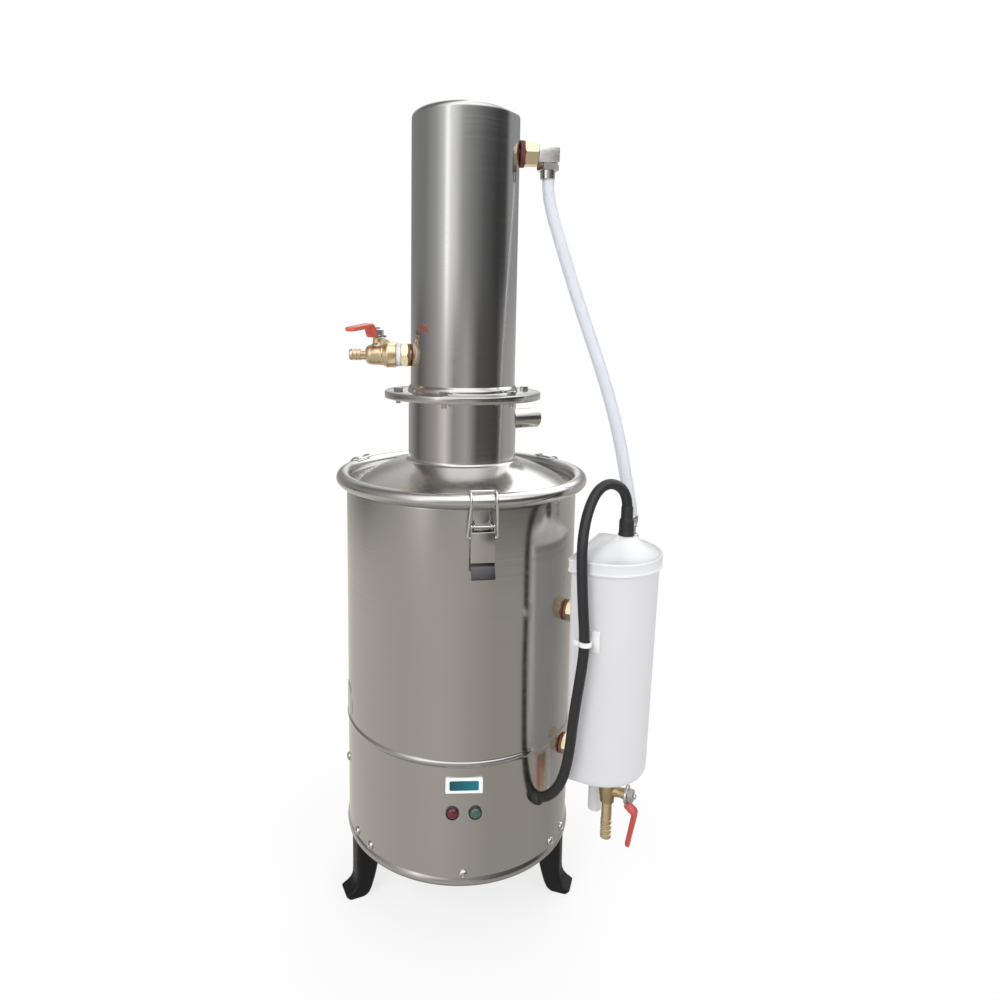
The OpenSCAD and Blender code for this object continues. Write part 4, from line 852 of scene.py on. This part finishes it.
piece("condenser_jacket", revolve(jacket, 224), condenser_steel, "stand", ["condenser_shell"])

# Cooling water inlet: a red fibre washer, a brass hexagon nipple, white thread seal and a cast and turned
# brass ball valve with a ribbed hose end. A cranked strip with a red dipped sleeve turns its ball.
# The two washers of the cup's nipples are of the same fibre.
inlet_z = 549.5
inlet_seat = 2.4
inlet_band = inlet_seat + 7
inlet_body = inlet_band + 4.8
inlet_stem = inlet_body + 18.5
inlet_axis = place(-90, cond_r, 0, inlet_z) @ outward
cup_az = 60
feed_spots = [place(cup_az, barrel_r, 0, z) @ outward for z in (170.5, 308)]
red_fibre = finish("red_fibre", (0.27, 0.13, 0.095), 0.7, drift=0.25, patch=200, relief=0.35)
brass = finish("brass", (0.86, 0.71, 0.47), 0.24, metal=1, drift=0.08, patch=70, grain=(300, 300, 300),
               wear=0.06, relief=0.06)
cast_brass = finish("cast_brass", (0.85, 0.70, 0.47), 0.33, metal=1, drift=0.1, patch=90,
                    grain=(900, 900, 900), wear=0.08, relief=0.25)
thread_seal = finish("thread_seal", (0.82, 0.82, 0.80), 0.5, drift=0.04, patch=200, relief=0.2)
red_dip = finish("red_dip", (0.62, 0.105, 0.06), 0.32, drift=0.1, patch=60, relief=0.1,
                 more={"Coat Weight": 0.3})


def washer(r_out, bore, t):
    """Flat washer with eased edges, along Z from 0."""
    return revolve([(bore, 0), (r_out - 0.3, 0), (r_out, 0.3), (r_out, t - 0.3), (r_out - 0.3, t),
                    (bore, t)], 48)


def ribbed_end(first, length, root, rib, bore, ribs, plain=0.28):
    """Hose end along Z: a plain neck, then ribs that taper to the tip."""
    neck = length * plain
    pitch = (length - neck) / ribs
    outer = [(root, first), (root, first + neck)]
    for k in range(ribs):
        z = first + neck + pitch * k
        outer += [(rib, z + 0.15), (rib, z + 0.7), (root, z + pitch - 0.1)]
    tip = first + length
    outer[-1:] = [(root + 0.1, tip - 0.4), (root - 0.5, tip), (bore, tip)]
    return revolve([(bore, first)] + outer, 48)


nipple = joined(solid([(8, -5), (8, inlet_body + 4)], 40),
                moved(hexagon(22, 7, turn=30), Matrix.Translation((0, 0, inlet_seat))))
seal_ring = revolve([
    (8.1, inlet_band), (10.4, inlet_band), (11.1, inlet_band + 0.5), (11.3, inlet_band + 1.6),
    (11.25, inlet_band + 3.2), (11.5, inlet_band + 4.2), (11.1, inlet_body), (8.1, inlet_body),
], 48)
valve_house = solid([
    (10.8, inlet_body), (12.2, inlet_body + 0.2), (12.5, inlet_body + 0.9), (12.5, inlet_body + 6.2),
    (12.75, inlet_body + 7.6), (12.75, inlet_body + 8.8), (12.3, inlet_body + 9.8),
    (11.4, inlet_body + 11.2), (10.9, inlet_body + 12.8), (10.3, inlet_body + 13.2),
    (10.3, inlet_body + 13.8), (10.7, inlet_body + 14.4), (10.3, inlet_body + 15.4),
    (10.25, inlet_body + 18.5), (10.1, inlet_body + 23), (9.7, inlet_body + 26), (8.8, inlet_body + 28),
    (7.4, inlet_body + 29.4), (6.2, inlet_body + 30),
], 56)
stem_spot = place(-90, cond_r + inlet_stem, 0, inlet_z)
bonnet = solid([(6.2, 4), (6.1, 9.2), (5.7, 10.2), (5.0, 10.8), (4.7, 11.6), (4.5, 15.4), (4.9, 16.1),
                (4.9, 16.5)], 40)
stop_lug = slab([(-3, 6), (-3, 16.3), (-9, 15.7), (-10, 14.9), (-13.4, 11.4), (-13.4, 6)], 6)
piece("inlet_washer_and_others", joined(
    moved(washer(11, 8.2, 2.4), inlet_axis),
    *[moved(washer(10, 6.7, 2.4), spot) for spot in feed_spots],
), red_fibre, "stand", ["fibre_washers"])
piece("inlet_hexagon", nipple, brass, "stand", ["inlet_nipple"], inlet_axis)
piece("inlet_thread_seal", seal_ring, thread_seal, "stand", ["inlet_seal"], inlet_axis)
piece("inlet_tap_body", joined(
    moved(valve_house, inlet_axis), moved(ribbed_end(inlet_body + 30, 16.2, 5.2, 5.8, 4, 3), inlet_axis),
    moved(bonnet, stem_spot), moved(stop_lug, stem_spot),
), cast_brass, "stand", ["inlet_valve"], bevel=0.25)


def lever_strip(stations):
    """Strip along X from (x, z, half width, thickness, slope) stations, with rounded edges."""
    rings = []
    for x, z, w, t, slope in stations:
        lean = math.radians(slope)
        corner = min(t / 2, w) * 0.92
        side = t / 2 - corner
        edge = w - corner
        turns = ((side, edge, 0), (-side, edge, 90), (-side, -edge, 180), (side, -edge, 270))
        ring = [q for cx, cy, first in turns for q in arc((cx, cy), corner, first, first + 90, 4)]
        rings.append([(x - p * math.sin(lean), q, z + p * math.cos(lean)) for p, q in ring])
    return loft(rings)


def cranked_lever(length, rise, dip):
    """Hub plate with its strip, and the dipped sleeve over the strip's step and grip."""
    hub = solid([(8.7, 0), (9, 0.4), (9, 2.0), (8.7, 2.4)], 40)
    neck = lever_strip([(5, 1.2, 5.6, 2.4, 0), (9.6, 1.2, 5.6, 2.4, 0), (11, 2.2, 5.6, 2.4, 50)])
    climb = math.degrees(math.atan2(rise - 2.4, 3.2))
    sleeve = [(8.6, 1.25, 5.7, 2.7, 2), (9.4, 1.4, 6, 3.1, 14), (10.5, 2.0, 6.1, 3.3, climb * 0.6),
              (11.4, 3.4, 6.1, 3.5, climb), (14.6, rise + 0.6, 6, 3.8, climb),
              (15.5, rise + 1.8, 5.9, 4.3, climb * 0.5), (17, rise + 2.3, 5.8, 4.8, 2)]
    end = length - 5.4
    low = rise + 2.2 - (end - 17) * math.tan(math.radians(dip))
    sleeve += [(21, rise + 1.9, 5.7, 4.9, -dip), (end, low, 5.4, 4.4, -dip)]
    for k, t in enumerate((4.4, 4.4, 4.3, 4.0, 3.4, 2.0), 1):
        a = math.radians(15 * k)
        sleeve.append((end + 5.4 * math.sin(a), low - 0.09 * k, max(0.6, 5.4 * math.cos(a)), t, -dip))
    return joined(hub, neck), lever_strip(sleeve)


inlet_turn = Matrix.Rotation(math.radians(63), 4, "Z")
inlet_hub, inlet_grip = cranked_lever(53, 9, 6)
lever_spot = stem_spot @ inlet_turn @ Matrix.Translation((0, 0, 16.9))
piece("inlet_lever_hub", inlet_hub, bright_plate, "inlet_handle", ["inlet_lever"], lever_spot)
piece("inlet_lever_sleeve", inlet_grip, red_dip, "inlet_handle", ["inlet_lever"], lever_spot,
      sharp=60)
lever_nut = joined(hexagon(11, 5.2, turn=12),
                   solid([(5.2, 5), (4.6, 5.6), (3.4, 6), (2.6, 6.1), (2.5, 7.2), (1.9, 7.5)], 24))
piece("inlet_nut", lever_nut, bright_plate, "inlet_handle", ["inlet_lever_nut"],
      lever_spot @ Matrix.Translation((0, 0, 2.4)))

# Cooling water outlet: a thick dark fibre washer, a brass hexagon nipple with an edge to the front, a
# plated block elbow with eased corners and below it a plated union nut whose sleeve grips the hose.
outlet_z = 743
outlet_seat = 4.6
elbow_low, elbow_high = box_mm("outlet_elbow")
elbow_x = elbow_low.x
elbow_w = elbow_high.x - elbow_x
elbow_top = (elbow_high.z - elbow_low.z) / 2
outlet_axis = place(90, cond_r, 0, outlet_z) @ outward
dark_fibre = finish("dark_fibre", (0.15, 0.04, 0.04), 0.65, drift=0.2, patch=200, relief=0.3)
piece("outlet_washer", washer(12.5, 6.7, outlet_seat), dark_fibre, "stand", ["fibre_washers"],
      outlet_axis)
outlet_hex = joined(solid([(6.4, -5), (6.4, 17.9)], 32),
                    moved(hexagon(21, 13.3, turn=30), Matrix.Translation((0, 0, outlet_seat))))
piece("outlet_hexagon", outlet_hex, brass, "stand", ["outlet_nipple"], outlet_axis)
corner_r = 5
elbow_outline = [(elbow_x, -elbow_top), (elbow_x + elbow_w, -elbow_top)]
elbow_outline += arc((elbow_x + elbow_w - corner_r, elbow_top - corner_r), corner_r, 0, 90, 6)
elbow_outline.append((elbow_x, elbow_top))
satin_nickel = finish("satin_nickel", (0.85, 0.845, 0.835), 0.24, metal=0.9, drift=0.04, patch=90,
                      wear=0.08, relief=0.06)
piece("outlet_block", slab(elbow_outline, elbow_w - 2), satin_nickel, "stand", ["outlet_elbow"],
      place(90, z=outlet_z), bevel=1.5, sharp=40)
union = joined(moved(hexagon(18.6, 6.5), Matrix.Translation((0, 0, -6.5))),
               revolve([(5.2, -14.5), (6.6, -14.5), (7.0, -14.1), (7.2, -10), (7.4, -6), (5.2, -6)], 48))
piece("outlet_union", union, bright_plate, "stand", ["outlet_nut"],
      place(90, elbow_x + elbow_w / 2, 0, outlet_z - elbow_top))

# Feed cup: a milky polypropylene moulding with a flat back, round front and eased lower edge, and a lid
# with a deep rim and a raised crown. Two brass nipples join it to the boiler.
cup_back = barrel_r + 18.5
cup_c = cup_back + 20.5
cup_low, cup_high = box_mm("cup_body")
cup_z = cup_low.z
cup_top = cup_high.z
cup_base_r = 43.5
cup_top_r = 47.5
cup_wall = 2.5
cup_edge = 8
cup_spot = place(cup_az)


def cup_ring(back, r, z, corner=5):
    """Level D-shaped ring: straight back and sides, round front, eased back corners."""
    ring = [(cup_c + r * math.cos(a), r * math.sin(a), z)
            for a in (math.pi * (k / 48 - 0.5) for k in range(49))]
    ring += [(x, y, z) for x, y in arc((back + corner, r - corner), corner, 90, 180, 6)]
    ring += [(x, y, z) for x, y in arc((back + corner, corner - r), corner, 180, 270, 6)]
    return ring


def cup_skin(inset):
    """Rings of the cup's outer or inner skin from its bottom to its rim."""
    rings = []
    for k in range(7):
        a = math.radians(15 * k)
        r = cup_base_r - inset - (cup_edge - inset) * 0.75 * (1 - math.sin(a))
        rings.append(cup_ring(cup_back + inset, r, cup_z + inset + (cup_edge - inset) * (1 - math.cos(a)),
                              5 - inset / 2))
    rings.append(cup_ring(cup_back + inset, cup_top_r - inset, cup_top, 5 - inset / 2))
    return rings


# The cup's plastic carries a faint white emission: a painted glow that stands in for light shining through
# the milky wall.
milky = finish("milky", (0.575, 0.575, 0.595), 0.34, drift=0.02, patch=12, relief=0.06,
               more={"Subsurface Weight": 0.35, "Subsurface Scale": 0.02, "Subsurface Radius": (1, 1, 1),
                     "Emission Color": (0.97, 0.97, 1, 1), "Emission Strength": 0.11})
milky_lid = finish("milky_lid", (0.84, 0.85, 0.87), 0.32, drift=0.02, patch=14, relief=0.06,
                   more={"Subsurface Weight": 0.35, "Subsurface Scale": 0.02,
                         "Subsurface Radius": (1, 1, 1)})
piece("feed_cup", loft(cup_skin(0) + cup_skin(cup_wall)[::-1]), milky, "stand", ["cup_body"],
      cup_spot, sharp=45)
rim_z = box_mm("cup_lid")[0].z
rim_top = rim_z + 12
rim_r = 49.9
rim_back = cup_back - 2.4
crown_at = cup_c + 16.5
rim = [cup_ring(rim_back + 2.2, rim_r - 2.2, rim_top - 2.2), cup_ring(rim_back + 2.2, rim_r - 2.2, rim_z)]
rim += [cup_ring(rim_back + g, rim_r - g, rim_z + up) for g, up in
        ((0.5, 0), (0, 0.5), (0, 1.8), (0.45, 2.2), (0.45, 9.8), (0, 10.3), (0, 11.2), (0.8, 12))]
crown_h = 15
crown_top_r = 10


def crown_ring(share):
    """Ring of the lid's hill, from the rim (0) to the round top under the cuff (1)."""
    ring = []
    for x, y, z in cup_ring(rim_back + 1.6, rim_r - 1.6, rim_top - 0.3):
        a = math.atan2(y, x - crown_at)
        end = (crown_at + crown_top_r * math.cos(a), crown_top_r * math.sin(a))
        rise = crown_h * (0.55 * share + 0.45 * share ** 3)
        ring.append((x + (end[0] - x) * share, y + (end[1] - y) * share, z + rise))
    return ring


crown = loft([crown_ring(k / 10) for k in range(11)])
piece("feed_cup_lid", joined(loft(rim), crown), milky_lid, "stand", ["cup_lid"], cup_spot,
      sharp=45)
nipple_run = joined(solid([(6.5, -6), (6.5, 26)], 32),
                    moved(hexagon(18, 16.1, turn=30), Matrix.Translation((0, 0, 2.4))))
piece("feed_nipples", joined(*[moved(nipple_run, spot) for spot in feed_spots]), brass, "stand",
      ["cup_nipples"])

# On the cup's lid: the black rubber cuff of the probe cable and a plated hose fitting with a hexagon,
# a neck and a sleeve that takes the hose.
cuff_z = box_mm("cable_cuff")[0].z
cuff = solid([(7.2, 0), (7.4, 1), (6.9, 2), (6.75, 4), (6.75, 12.5), (6.3, 14.4), (5.7, 15.4), (5.45, 16.4),
              (5.4, 25.8), (5.0, 27)], 40)
piece("cuff", cuff, black_rubber, "stand", ["cable_cuff"],
      place(cup_az, crown_at, 0, cuff_z), sharp=50)
fitting = joined(solid([(4.8, -8), (4.8, 1)], 24), hexagon(13, 8),
                 solid([(4.6, 7.5), (4.6, 14.5), (5.6, 15.4), (5.6, 17), (5.2, 17.6), (6.0, 19.6),
                        (6.35, 24), (6.35, 25.4), (6.0, 26)], 40))
piece("hose_fitting", fitting, bright_plate, "stand", ["cup_barb"],
      place(cup_az, cup_c + 13, 32, rim_top))

# Overflow pipe and drain: a milky pipe through the cup's floor, and a brass drain valve with a ribbed
# hose end whose cranked red lever hangs beside it.
# The pipe takes the cup's plastic with its faint painted glow.
overflow = revolve([(4.5, 0.4), (5.0, 0), (6.1, 0), (6.5, 0.5), (6.5, 196), (4.5, 196)], 40)
piece("overflow_tube", overflow, milky, "stand", ["overflow_pipe"],
      place(cup_az, cup_c - 7, 14, 102))
drain_r = cup_c + 9
down = Matrix.Rotation(math.pi, 4, "X")
drain_axis = place(cup_az, drain_r, 0, cup_z) @ down
drain_house = solid([
    (6, -10), (6, 0), (7.4, 0), (7.6, 0.6), (7.6, 3), (6.6, 3.8), (6.4, 8), (6.8, 10.5), (7.2, 14),
    (7.9, 19), (8.1, 23), (7.8, 28), (7.0, 32), (6.8, 36),
], 48)
drain_stem = place(cup_az, drain_r, 0, cup_z - 24) @ outward
# Brass painted darker than the inlet's: painted shade that stands in for the shadow under the cup.
drain_brass_painted_shade = finish("drain_brass_painted_shade", (0.58, 0.46, 0.27), 0.36, metal=1, drift=0.14, patch=90,
                    grain=(900, 900, 900), wear=0.08, relief=0.25)
drain_bonnet = moved(solid([(5.6, 0), (5.4, 9), (4.9, 10.4), (4.6, 13), (5.2, 15.8), (5.2, 17),
                            (4.9, 17.5)], 36), drain_stem)
piece("drain_tap_body", joined(moved(drain_house, drain_axis), drain_bonnet), drain_brass_painted_shade, "stand",
      ["drain_valve"])
piece("drain_hose_end", ribbed_end(36, 38.8, 5.0, 5.5, 3, 4, plain=0.5), cast_brass, "stand",
      ["drain_valve"], drain_axis)
dark_red_dip = finish("dark_red_dip", (0.50, 0.06, 0.05), 0.32, drift=0.1, patch=60, relief=0.1,
                      more={"Coat Weight": 0.3})
drain_hub, drain_grip = cranked_lever(53, 7, 9)
drain_spot = drain_stem @ Matrix.Translation((0, 0, 17.9))
piece("drain_lever_hub", drain_hub, bright_plate, "drain_handle", ["drain_lever"], drain_spot)
piece("drain_lever_sleeve", drain_grip, dark_red_dip, "drain_handle", ["drain_lever"],
      drain_spot, sharp=60)
piece("drain_nut", lever_nut, bright_plate, "drain_handle", ["drain_lever_nut"],
      drain_spot @ Matrix.Translation((0, 0, 2.4)))

# Cable tie: a white stick-on mount on the side of the cup, with a strap pulled round the cable.
tie_spot = Vector(cable_route[10]) / MM
mount_z = tie_spot.z
mount_side = cup_base_r + (cup_top_r - cup_base_r) * (mount_z - cup_z) / (cup_top - cup_z)
mount = loft([round_box(cup_c - 3, cup_c + 9, 10, 1.2, z) for z in (-1.6, 1.8, 2.4)])
strap_band = revolve([(4.85, -2.2), (6.0, -2.2), (6.2, -1.9), (6.2, 1.9), (6.0, 2.2), (4.85, 2.2)], 40)
strap_head = slab([(5.4, -2.4), (9.6, -2.4), (9.6, 2.4), (5.4, 2.4)], 5)
strap_turn = Matrix.Translation(tie_spot) @ Matrix.Rotation(math.radians(cup_az + 90), 4, "Z")
white_nylon = finish("white_nylon", (0.80, 0.80, 0.79), 0.4, drift=0.04, patch=90, relief=0.1)
piece("tie_base", mount, white_nylon, "stand", ["tie_mount"],
      place(cup_az, 0, -mount_side, mount_z) @ Matrix.Rotation(math.pi / 2, 4, "X"), bevel=0.3)
piece("tie_band", joined(strap_band, strap_head), white_nylon, "stand", ["tie_strap"],
      strap_turn, bevel=0.25)
